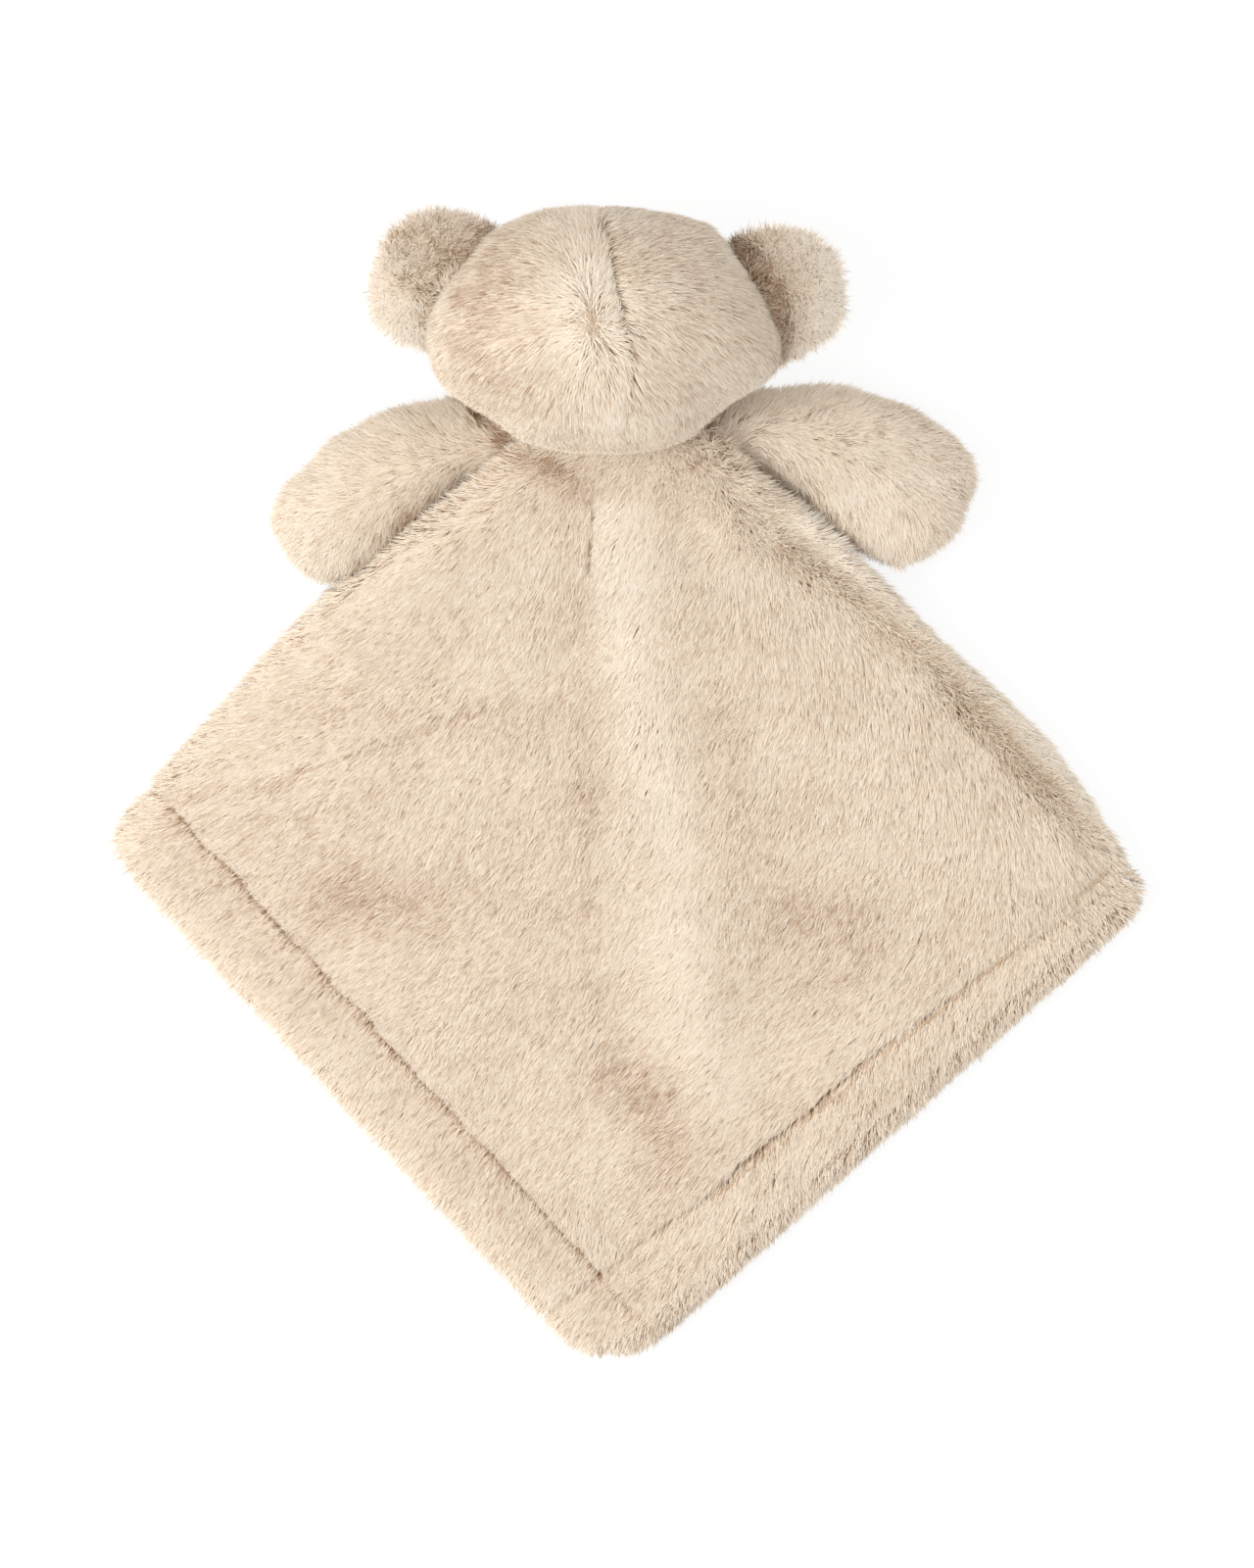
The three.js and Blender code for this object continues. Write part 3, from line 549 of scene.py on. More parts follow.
def strands(place, out, lie, length, height, tone, chance, ruffle, edge, gather=0.45, width=0.25, painted_rim_glow=0.15,
            paler_root=0, even=0):
    """Blades of fur in locks: points, shading normals and (paleness, share of length), four to a blade. The
    share gather draws the tips of a lock together, and width is that of a blade, in mm. On steep cloth and
    near an edge, from 0 to 1, the strands stand apart, lie lower and are uneven instead, and are paler by the
    share painted_rim_glow, a painted glow of light through the thin strands at the outline. A root is
    coloured as if it were the share paler_root further along. Even, from 0 to 1, makes strands lie smooth
    and alike."""
    n = len(place) * STRANDS_TO_A_LOCK
    def each(values):
        return np.repeat(values, STRANDS_TO_A_LOCK, axis=0)
    side = np.cross(lie, out)
    turn = chance.uniform(0, 2 * math.pi, n)
    place, out, lie, side = each(place), each(out), each(lie), each(side)
    level = np.clip((out[:, 2] - 0.3) / 0.45, 0, 1) * (1 - each(edge))
    smooth = each(even * np.ones(len(length)))
    far = np.sqrt(chance.random(n)) * LOCK_WIDTH * (1 + 0.6 * (1 - level)) * MM
    off = side * (far * np.cos(turn))[:, None] + lie * (far * np.sin(turn) * 1.6)[:, None]
    drawn = (np.where(chance.random(n) < LOOSE_SHARE, 0.0, gather) * level * (1 - smooth))[:, None]
    size = each(length) * chance.normal(1, 0.07, n)
    size *= np.where(chance.random(n) < UNRULY_SHARE * level, chance.uniform(1.05, 1.25, n), 1)
    size *= 1 - 0.38 * (1 - level) * chance.random(n)
    rise = np.minimum(each(height) * (0.72 + 0.28 * level) * chance.normal(1, 0.07, n), size * 0.97)
    run = np.sqrt(np.maximum(size**2 - rise**2, (0.15 * size) ** 2))
    sway = chance.normal(0, 0.10, n) * (1 + 1.2 * (1 - level) + 7 * each(ruffle))
    ahead = lie * np.cos(sway)[:, None] + side * np.sin(sway)[:, None]
    root = place + off
    run, rise = run[:, None], rise[:, None]
    tip = root - off * drawn + ahead * run * MM + out * rise * MM
    middle = root - off * drawn * 0.6 + ahead * (0.52 * run) * MM + out * (0.80 * rise) * MM
    lean = chance.normal(0, 0.3, n)
    flat = side * np.cos(lean)[:, None] + out * np.sin(lean)[:, None]
    half = flat * (width / 2 * chance.uniform(0.75, 1.25, n))[:, None] * MM
    points = np.stack([root, middle + half, middle - half, tip], 1)
    own = (0.15 + 0.2 * (1 - level))[:, None]
    facing = unit(out * (1 - own) + unit(np.cross(half, tip - middle)) * own)
    normals = np.repeat(facing[:, None], 4, axis=1)
    shade = each(tone)
    # Painted glow of light through the thin strands at the outline: near an edge they are paler
    shade = shade + (np.maximum(shade, 0.64) - shade) * painted_rim_glow * (1 - level)
    shade += chance.normal(0, 0.08, n) * (1 + 0.5 * (1 - level)) * (1 - 0.6 * smooth)
    pale = np.clip(shade, 0.02, 0.98)
    uv = np.empty((n, 4, 2))
    uv[..., 0] = pale[:, None] + np.array([0, 0.006, -0.006, 0])
    uv[..., 1] = np.array([0.01, 0.62, 0.62, 0.99])
    uv[:, 0, 1] += each(paler_root * np.ones(len(length)))
    return points, normals, uv


def comb_back(blades, seam, over, chance):
    """Stops strands at a seam. Their tips hang up to over mm beyond it."""
    points = blades[0]
    stop = np.repeat(over * chance.uniform(0.2, 1, len(points)), 4)
    excess = np.maximum(past_seam(points.reshape(-1, 3), *seam) - stop, 0)
    points[..., :2] -= (excess[:, None] * np.array(way_across(*seam[:2])) * MM).reshape(-1, 4, 2)


def mesh_of_blades(name, points, normals, uv):
    """A mesh of blades, each of two triangles that face out from the cloth."""
    count = len(points)
    mesh = bpy.data.meshes.new(name)
    mesh.vertices.add(count * 4)
    mesh.vertices.foreach_set("co", points.astype(np.float32).ravel())
    pattern = np.array([0, 1, 2, 2, 1, 3])
    loops = (np.arange(count)[:, None] * 4 + pattern).ravel()
    mesh.loops.add(len(loops))
    mesh.loops.foreach_set("vertex_index", loops.astype(np.int32))
    mesh.polygons.add(count * 2)
    mesh.polygons.foreach_set("loop_start", np.arange(0, count * 6, 3, dtype=np.int32))
    layer = mesh.uv_layers.new(name="OFBake")
    layer.uv.foreach_set("vector", uv[:, pattern].astype(np.float32).ravel())
    mesh.update(calc_edges=True)
    mesh.polygons.foreach_set("use_smooth", np.ones(count * 2, bool))
    custom = mesh.attributes.new("custom_normal", "FLOAT_VECTOR", "POINT")
    custom.data.foreach_set("vector", normals.astype(np.float32).ravel())
    mesh.update()
    return mesh


def fur_piece(name, body, blades, slot="fur"):
    """Fur that rides on a body, clear of the table, in as many pieces as keep each of them small enough."""
    points, normals, uv = blades
    np.maximum(points[..., 2], LOWEST, out=points[..., 2])
    pieces = max(1, math.ceil(len(points) / MOST_BLADES))
    order = np.argsort(points[:, 0, 0], kind="stable")
    for i, some in enumerate(np.array_split(order, pieces)):
        part = name if pieces == 1 else f"{name}_{i + 1}"
        piece = add_object(part, mesh_of_blades(part, points[some], normals[some], uv[some]))
        piece.data.materials.append(MATERIALS[slot])
        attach(piece, body)
    print(f"{name}: {len(points)} blades in {pieces} pieces")


# Which way the fur lies in plan: guides of a place in mm, x and y, and the way there in degrees

BLANKET_LIE = [
    (-85, 54, 196), (-100, 38, 190), (-115, 20, 190), (-125, 8, 200), (-68, 68, 190), (-60, 73, 180),
    (-52, 77, 172), (-43, 82, 168), (-34, 90, 180), (-65, 60, 212), (-45, 66, 225), (-108, 22, 202),
    (-118, 2, 215), (-30, 78, 232), (-80, 40, 208), (-95, 20, 208),
    (-40, 45, 240), (-26, 64, 250), (-11, 70, 256), (-9, 53, 240), (4, 71, 240), (22, 72, 216),
    (5, 52, 235), (22, 46, 236), (38, 56, 270), (52, 45, 284), (68, 32, 284), (60, 24, 270),
    (82, 16, 284), (96, 2, 280), (108, -10, 284), (118, -22, 285), (-63, 13, 232), (-18, 12, 246),
    (9, 12, 252), (27, 12, 236), (44, 12, 245), (62, 5, 253), (80, 0, 265), (-96, -9, 220),
    (-52, -14, 240), (-18, -14, 244), (18, -10, 240), (38, -14, 246), (62, -22, 240), (84, -22, 250),
    (100, -20, 260), (114, -30, 275), (-76, -36, 214), (-52, -36, 222), (-27, -36, 238), (-7, -36, 240),
    (15, -43, 235), (31, -36, 250), (49, -43, 238), (71, -43, 242), (93, -45, 246), (-63, -54, 218),
    (-40, -56, 230), (-9, -56, 242), (15, -56, 230), (40, -60, 225), (62, -60, 222), (82, -54, 238),
    (-45, -74, 242), (-18, -78, 238), (9, -78, 225), (33, -78, 220), (49, -78, 221), (-25, -100, 230),
    (-5, -100, 225), (18, -94, 222), (-11, -127, 262), (4, -121, 228),
    (36, 84, 350), (44, 79, 30), (51, 74, 32), (58, 69, 22), (64, 63, 350), (75, 54, 322), (88, 42, 319),
    (100, 29, 318), (112, 16, 318), (122, 4, 317), (132, -8, 316), (138, -20, 314),
]
BLANKET_FRONT_LIE = [(0, 60, 270), (-60, -20, 250), (60, -20, 290), (0, -120, 270)]
LEFT_HEM_LIE = [
    (-141, -12, 196), (-129, -25, 222), (-112, -45, 218), (-96, -67, 222), (-78, -87, 235),
    (-58, -109, 230), (-40, -127, 240), (-25, -143, 242), (-16, -154, 232),
]
RIGHT_HEM_LIE = [
    (138, -29, 330), (131, -40, 300), (125, -47, 276), (111, -58, 258), (93, -67, 262), (84, -83, 270),
    (71, -92, 262), (60, -105, 250), (47, -114, 266), (38, -125, 262), (22, -125, 246), (4, -143, 237),
    (-7, -158, 242),
]
LEFT_HEAD_LIE = [
    (-52, 128, 212), (-40, 142, 208), (-42, 118, 222), (-30, 148, 196), (-32, 132, 200), (-30, 118, 216),
    (-28, 104, 238), (-22, 140, 178), (-24, 128, 196), (-22, 120, 222), (-18, 112, 248), (-16, 101, 266),
    (-16, 137, 160), (-15, 131, 188), (-14.5, 125, 206), (-13.5, 119.5, 236), (-12.5, 142, 100),
    (-9.5, 137.5, 62), (-8.2, 133, 48), (-7.2, 128.5, 34), (-6.4, 124, 8), (-6, 119.5, 318), (-10, 115, 274),
    (-5, 114, 298), (-10, 108, 276), (-6, 106, 285), (-8, 98, 278), (-18, 150, 150), (-13, 145, 120),
    (-9, 142, 75), (-20, 158, 70), (-13, 159, 80), (-30, 160, 140), (-45, 155, 165), (-24, 152, 165),
]
RIGHT_HEAD_LIE = [
    (-4, 158, 20), (2, 152, 8), (12, 152, 4), (22, 152, 355), (1, 142, 352), (8, 142, 352), (-2, 146, 358),
    (20, 142, 342), (30, 144, 330), (3, 130, 336), (12, 131, 333), (25, 130, 326), (38, 130, 312),
    (4, 119, 316), (12, 118, 318), (22, 118, 318), (34, 117, 310), (3, 110, 300), (10, 107, 298),
    (18, 104, 300), (3, 98, 280), (15, 162, 25), (28, 158, 10),
]
LEFT_ARM_LIE = [
    (-63, 104, 160), (-50, 106, 148), (-42, 104, 146), (-40, 95, 152), (-82, 96, 188), (-70, 96, 182),
    (-58, 95, 176), (-93, 86, 212), (-78, 84, 205), (-62, 86, 196), (-93, 70, 222), (-84, 66, 226),
    (-72, 72, 220), (-93, 58, 250), (-84, 56, 262), (-52, 86, 190), (-62, 79, 215),
]
RIGHT_ARM_LIE = [
    (33, 110, 48), (42, 113, 28), (27, 100, 50), (55, 113, 5), (48, 104, 18), (40, 96, 350),
    (72, 106, 350), (60, 106, 0), (86, 99, 335), (50, 92, 330), (60, 88, 318), (72, 90, 312),
    (84, 86, 308), (92, 76, 300), (84, 70, 285), (70, 76, 292), (98, 82, 318), (58, 76, 300),
]
LEFT_EAR_LIE = [
    (-56, 162, 100), (-46, 160, 60), (-66, 157, 135), (-72, 150, 160), (-75, 142, 185), (-72, 132, 215),
    (-64, 126, 240), (-58, 131, 250), (-68, 138, 205), (-62, 136, 230),
    (-62, 152, 40), (-62, 146, 45), (-58, 143, 55), (-54, 150, 40), (-48, 153, 40), (-54, 145, 60),
]
RIGHT_EAR_LIE = [
    (44, 160, 80), (35, 156, 105), (54, 154, 45), (60, 144, 15), (58, 134, 345), (52, 126, 315),
    (46, 122, 290), (40, 150, 60), (44, 142, 35), (46, 132, 340), (50, 148, 40), (52, 138, 10),
]

# Lines in plan, in mm

HEAD_SEAM = [
    (-12, 166), (-11, 156), (-9.5, 151), (-8.4, 144), (-7, 137), (-4.4, 128), (-2.8, 123), (-1.6, 118),
    (-1.6, 112), (-2.6, 105), (-3.8, 98), (-4, 92),
]
NECK_EDGE = [(-30, 100), (-14, 94), (0, 92.5), (14, 94), (28, 101)]
LEFT_OF_NECK = [(-30, 94), (-16, 89)]
RIGHT_FOLD = [(40, 69), (52, 61), (66, 50), (80, 37), (97, 18.5), (108, 6), (120, -6), (128, -16)]
OUTSIDE_FOLD = [(x + 4.6, y + 4.6) for x, y in RIGHT_FOLD]

# Where the fur is painted paler or darker, as painted highlight and painted shade, and stands higher or lower
# than usual: a line in mm, how far it reaches to each side, how much paler, how much higher

BLANKET_PAINTED_LIGHT_MARKS = [
    # A painted highlight along the ridge down the middle, and painted shade on its flanks and in broad
    # patches
    ([(-1, 77), (4, 27), (13, -15), (18, -56), (27, -84)], 8, 0.12, 0.02),
    ([(-12, 55), (-12, 15), (-10, -56)], 6, -0.04, 0),
    ([(20, 60), (25, 20), (34, -20)], 7, -0.03, 0),
    ([(-80, -28), (-60, -34)], 11, -0.08, -0.04),
    ([(-45, -26), (-30, -22)], 9, -0.04, 0),
    ([(-3, -79), (10, -92), (14, -102)], 9, -0.11, -0.06),
    ([(50, -36), (68, -42)], 10, -0.09, -0.05),
    ([(42, -50), (60, -55)], 10, -0.05, 0),
    # Painted shade in creases, in the hollows beside the neck and under the right arm, and round the neck
    ([(-104, -1), (-70, 12), (-29, 27)], 1.3, -0.09, -0.12),
    ([(-9, 83), (-9.5, 74), (-10.5, 64)], 1.0, -0.30, -0.35),
    ([(-17.5, 91)], 1.2, -0.45, -0.35),
    ([(37, 82.5)], 1.4, -0.40, -0.30),
    ([(-32, 92), (-22, 88), (-13, 86)], 4.5, -0.08, -0.05),
    ([(-30, 94), (-22, 91.5), (-16, 90.5)], 1.8, -0.16, -0.15),
    ([(14, 91.5), (22, 94)], 1.8, -0.14, -0.12),
    ([(-10, 84), (2, 88), (12, 84)], 5, -0.06, 0),
    # Painted shade on the parted crest of the fold, where the roots show too, and a painted highlight on the
    # smooth band outside it
    (RIGHT_FOLD, 1.9, -0.13, 0.18),
    (OUTSIDE_FOLD, 4.2, 0.28, -0.42),
]
HEAD_PAINTED_LIGHT_MARKS = [
    # Higher fur along the neck's edge; painted highlights over the whorl, beside the seam and on the right;
    # painted shade on both sides, above the neck, in the seam and along two short lines on the crown
    (NECK_EDGE, 6, 0, 0.5),
    ([(-12, 129), (-12, 118), (-9, 104)], 8, 0.06, 0),
    ([(-12, 137), (-10, 122)], 3.5, 0.13, 0),
    ([(-46, 140), (-44, 125), (-38, 112)], 12, -0.05, 0),
    ([(-34, 142), (-32, 128), (-28, 114)], 12, -0.08, 0),
    (HEAD_SEAM[1:6], 1.6, 0.07, 0),
    ([(-12.5, 137), (-10.4, 122)], 2.2, 0.12, 0.08),
    ([(-12, 100), (4, 98)], 6, -0.06, 0),
    ([(44, 140), (47, 128), (42, 116)], 7, -0.08, 0),
    ([(30, 146), (26, 130), (24, 112)], 12, 0.03, 0),
    (HEAD_SEAM[3:7], 0.9, -0.03, 0),
    ([(-25.5, 151.5), (-20.5, 155.5)], 1.5, -0.07, -0.05),
    ([(-10, 151), (-9, 147)], 1.4, -0.06, -0.05),
]
LEFT_ARM_PAINTED_SHADE_MARKS = [
    # Painted shade in the crease under the head and in the gap under the blanket's edge
    ([(-56, 109), (-50.5, 106.5), (-39.5, 99.7)], 1.7, -0.44, -0.30),
    ([(-39.5, 99.7), (-27.5, 92.5), (-20, 90.5)], 1.5, -0.26, -0.15),
    ([(-40, 87), (-46, 85), (-55, 81), (-62, 76)], 4.4, -0.32, -0.15),
    ([(-62, 76), (-70, 69), (-82, 57)], 3.6, -0.24, 0),
]
RIGHT_ARM_PAINTED_SHADE_MARKS = [
    # Painted shade in the crease under the head, in the gap under the blanket's edge, on the arm's lower side
    # and in the groove of its seam
    ([(16, 90), (20.5, 97), (25, 104), (34, 110), (41, 114)], 1.7, -0.44, -0.30),
    ([(36, 84), (41, 82)], 2.5, -0.35, -0.2),
    ([(36, 88), (46, 82), (60, 73)], 5.0, -0.34, -0.1),
    ([(60, 70), (72, 64), (84, 63)], 4.0, -0.12, 0),
    ([(63, 105), (78, 99), (93, 91)], 1.3, -0.07, -0.06),
]
LEFT_EAR_PAINTED_LIGHT_MARKS = [
    # Painted shade in and round the hollow where the ear meets the head, and a painted highlight round its
    # rim
    ([(-37, 155), (-42.6, 149.5), (-47.5, 145.4), (-54.7, 140.3), (-56, 135.4), (-57, 131)],
     2.4, -0.34, -0.40),
    ([(-55, 140.5), (-61, 140), (-63, 146), (-64, 150)], 2.4, -0.14, -0.2),
    ([(-63, 151), (-52, 151), (-42, 153)], 5.0, -0.20, -0.10),
    ([(-58, 144), (-53, 146)], 3.5, -0.12, -0.10),
    ([(-50, 164), (-60, 164), (-70, 158), (-76, 148), (-76, 138), (-69, 129), (-60, 125)], 4.5, 0.12, 0),
]
RIGHT_EAR_PAINTED_LIGHT_MARKS = [
    # Painted shadow of the head on the side of the ear next to it, fading outwards, and painted highlights
    # round its rim and on its outer side
    ([(31, 149), (34.5, 143), (38, 137), (40, 131), (41, 124)], 3.4, -0.44, -0.30),
    ([(40, 157), (52, 156), (60, 148), (62, 138), (58, 128), (50, 120)], 4.5, 0.15, 0),
    ([(39, 148), (45, 141), (46, 133)], 6.0, -0.20, -0.10),
    ([(53, 148), (55, 140), (52, 132)], 3.5, 0.12, 0),
]


# Seams and outlines

def hem_seams():
    """For each line of hem stitching its two ends, how far it wavers and over what length, in mm."""
    low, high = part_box("hem_stitch_left")
    left, corner = (low.x / MM, high.y / MM), (high.x / MM, low.y / MM)
    low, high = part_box("hem_stitch_right")
    return (left, corner, 0.45, 17), (corner, (high.x / MM, high.y / MM), 1.0, 30)


def way_across(a, b):
    """The way in plan to the right of the line from a to b."""
    way = np.array([b[0] - a[0], b[1] - a[1]], float)
    way /= np.linalg.norm(way)
    return way[1], -way[0]


def beyond(points, a, b):
    """How far points lie to the right of the line from a to b, in mm, in plan."""
    way = way_across(a, b)
    return (points[:, 0] / MM - a[0]) * way[0] + (points[:, 1] / MM - a[1]) * way[1]


def past_seam(points, a, b, waver, over):
    """How far points lie beyond a sewn seam, in mm, in plan."""
    return beyond(points, a, b) + waver * wander(points * np.array([1, 1, 0]), over, 31)


def inside_outline(points, cloth):
    """How far points lie inside the outline of the cloth in plan, in mm, where the outline is convex."""
    corners = np.round(points_and_normals(cloth)[0][:, :2] / MM, 1).tolist()
    hull = [corners[i] for i in convex_hull_2d(corners)]
    inside = np.full(len(points), 1e9)
    for a, b in zip(hull, hull[1:] + hull[:1]):
        inside = np.minimum(inside, -beyond(points, a, b))
    return inside


def near_line(points, line, width):
    """1 on a line of points in plan, fading to 0 over its width."""
    x, y = points[:, 0] / MM, points[:, 1] / MM
    best = np.full(len(points), 1e9)
    for (ax, ay), (bx, by) in zip(line, line[1:] or line):
        wx, wy = bx - ax, by - ay
        share = np.clip(((x - ax) * wx + (y - ay) * wy) / max(wx * wx + wy * wy, 1e-9), 0, 1)
        best = np.minimum(best, (x - ax - share * wx) ** 2 + (y - ay - share * wy) ** 2)
    return np.exp(-best / width**2)


def painted_light_and_height(points, painted_light_marks):
    """How much paler, by painted highlight and painted shade, and how many times as high, the marks make the
    fur.
    """
    paler, higher = np.zeros(len(points)), np.ones(len(points))
    for line, width, pale, high in painted_light_marks:
        near = near_line(points, line, width)
        paler += pale * near
        higher += high * near
    return paler, higher


# The blanket

def make_blanket_cloth():
    """Both layers and the hems, as one form."""
    solids = ["blanket_back", "blanket_front", "hem_band_left", "hem_band_right"]
    cloth = cloth_form("blanket_cloth", solids, edge_share=0.15,
                       meets=["head_back_left", "head_back_right", "head_gusset"])
    stand_for(cloth, "blanket", solids)
    return cloth


def stray(place, angle, ruffle, chance):
    """The way that the blanket's fur lies, with its small wanderings."""
    angle = angle + (0.06 * wander(place, 23, 5) + 0.09 * wander(place, 7, 6))
    return angle + chance.normal(0, 1, len(place)) * (0.08 + 0.8 * ruffle)


def blanket_pile(place, gap, paler, higher):
    """The length, rise and tone of the blanket's fur, which a seam at a gap of 0 mm pinches. Paler brings the
    painted highlight and painted shade of the marks.
    """
    pinched = np.clip(gap / 2.2, 0, 1)
    length = PILE * (0.75 + 0.25 * pinched) * (1 + 0.03 * wander(place, 21, 7))
    height = RISE_ON_BLANKET * (0.80 + 0.20 * pinched) * (1 + 0.03 * wander(place, 27, 8)) * higher
    paler_to_the_right = 0.02 * place[:, 0] / MM / 140
    tone = 0.525 + paler_to_the_right + paler + 0.02 * wander(place, 26, 9) + 0.012 * wander(place, 9, 12)
    return length, height, tone


def blanket_strands(place, out, angle, length, height, tone, chance, ruffle, edge, even=0):
    tone = tone + chance.normal(0, 0.045, len(place))
    # A strong painted glow of light at the blanket's outline
    return strands(place, out, along_cloth(angle, out, 0.5), length, height, tone, chance, ruffle, edge,
                   painted_rim_glow=0.7, even=even)


def grow_middle(place, out, edge, gap_left, gap_right, chance):
    """The fur between the hems, ruffled along the fold and beside the neck. It hangs over the seams."""
    angle, agreement = lie_of(place, BLANKET_LIE, 10)
    ruffle = np.maximum(ruffled(agreement), 0.9 * near_line(place, RIGHT_FOLD, 2.4))
    ruffle = np.maximum(ruffle, 0.5 * near_line(place, LEFT_OF_NECK, 6))
    even = near_line(place, OUTSIDE_FOLD, 4.2)
    angle = stray(place, angle, ruffle, chance)
    gap = np.minimum(gap_left, gap_right)
    length, height, tone = blanket_pile(place, gap, *painted_light_and_height(place, BLANKET_PAINTED_LIGHT_MARKS))
    edge = edge * (1 - 0.7 * even)
    blades = blanket_strands(place, out, angle, length, height, tone, chance, ruffle, edge, even)
    for seam, over in zip(hem_seams(), OVER_SEAMS):
        comb_back(blades, seam, over, chance)
    fur_piece("blanket_back_fur", "blanket", blades)


def grow_hem(name, guides, place, out, edge, gap_left, gap_right, chance, shorter=0):
    """A hem's fur, with painted shade in the grooves of the stitching. At the hem's edge it is shorter by the
    share shorter.
    """
    angle, agreement = lie_of(place, guides, 10)
    ruffle = ruffled(agreement)
    angle = stray(place, angle, ruffle, chance)
    gap = np.minimum(gap_left, gap_right)
    length, height, tone = blanket_pile(place, gap, 0, 1)
    broken = 0.6 + 0.4 * wander(place, 8, 13)
    # Painted shade in the groove of each seam, broken along the right one
    tone -= 0.20 * np.exp(-((gap_left / 0.8) ** 2))
    tone -= 0.12 * broken * np.exp(-((gap_right / 0.8) ** 2))
    height *= 1 - 0.15 * np.exp(-(gap**2))
    length = length * (1 - shorter * edge)
    blades = blanket_strands(place, out, angle, length, height, tone, chance, ruffle, edge)
    fur_piece(name, "blanket", blades, "hem_fur")


def grow_underneath(place, out, edge, chance):
    """The fur of the blanket's front, pressed flat. It is thinner and its blades are broader."""
    some = chance.random(len(place)) < UNDER_SHARE
    place, out, edge = place[some], out[some], edge[some]
    angle, _ = lie_of(place, BLANKET_FRONT_LIE)
    length, height = np.full(len(place), PILE * 0.8), np.full(len(place), RISE_UNDER_BLANKET)
    blades = strands(place, out, along_cloth(angle, out, 0), length, height, np.full(len(place), 0.5), chance,
                     np.zeros(len(place)), edge, width=0.6)
    fur_piece("blanket_front_fur", "blanket", blades)


def make_blanket():
    cloth = make_blanket_cloth()
    chance = np.random.default_rng(SEED)
    place, out = grow_from(cloth, BLANKET_LOCKS, chance)
    left_seam, right_seam = hem_seams()
    past_left, past_right = past_seam(place, *left_seam), past_seam(place, *right_seam)
    edge = np.exp(-((inside_outline(place, cloth) / 5) ** 2))
    under = faces_down(out, 0.25)
    corner = right_seam[0]
    left_of_corner = place[:, 0] / MM < corner[0]
    in_left = ~under & (past_left > 0) & left_of_corner
    in_right = ~under & (past_right > 0) & ~left_of_corner
    def at(where):
        return [v[where] for v in (place, out, edge, np.abs(past_left), np.abs(past_right))]
    grow_middle(*at(~under & ~in_left & ~in_right), chance)
    grow_hem("hem_left_fur", LEFT_HEM_LIE, *at(in_left), chance)
    grow_hem("hem_right_fur", RIGHT_HEM_LIE, *at(in_right), chance, shorter=0.22)
    grow_underneath(place[under], out[under], edge[under], chance)


# Stuffed pieces

def swell(piece, face):
    """Fills the cloth out by the pressure of its filling, with every point held near its place, and with the
    features of a face held where they are."""
    before = points_and_normals(piece)[0]
    make_active(piece)
    stuffing = piece.modifiers.new("stuffing", "CLOTH")
    cloth = stuffing.settings
    cloth.quality = 5
    cloth.use_pressure = True
    cloth.uniform_pressure_force = 4
    cloth.effector_weights.gravity = 0
    for step in range(1, SWELL_STEPS + 1):
        bpy.context.scene.frame_set(step)
    bpy.ops.object.modifier_apply(modifier=stuffing.name)
    bpy.context.scene.frame_set(1)
    moved = points_and_normals(piece)[0] - before
    far = np.linalg.norm(moved, axis=1, keepdims=True)
    moved *= np.minimum(1, MOST_SWELL * MM / np.maximum(far, 1e-9))
    if face:
        moved *= 1 - near_features(before)[:, None]
    set_points(piece, before + moved)


def make_stuffed_cloth(name, body, solids, depth=3.6, simulated=False, **form):
    """The cloth of a stuffed piece. That of a large one is simulated round its filling."""
    face = body == "head"
    cloth = cloth_form(f"{name}_cloth", solids, depth=depth, face=face, **form)
    if simulated:
        swell(cloth, face)
        apply_new(cloth, "SUBSURF", levels=1, render_levels=1)
    stand_for(cloth, body, solids)
    return cloth


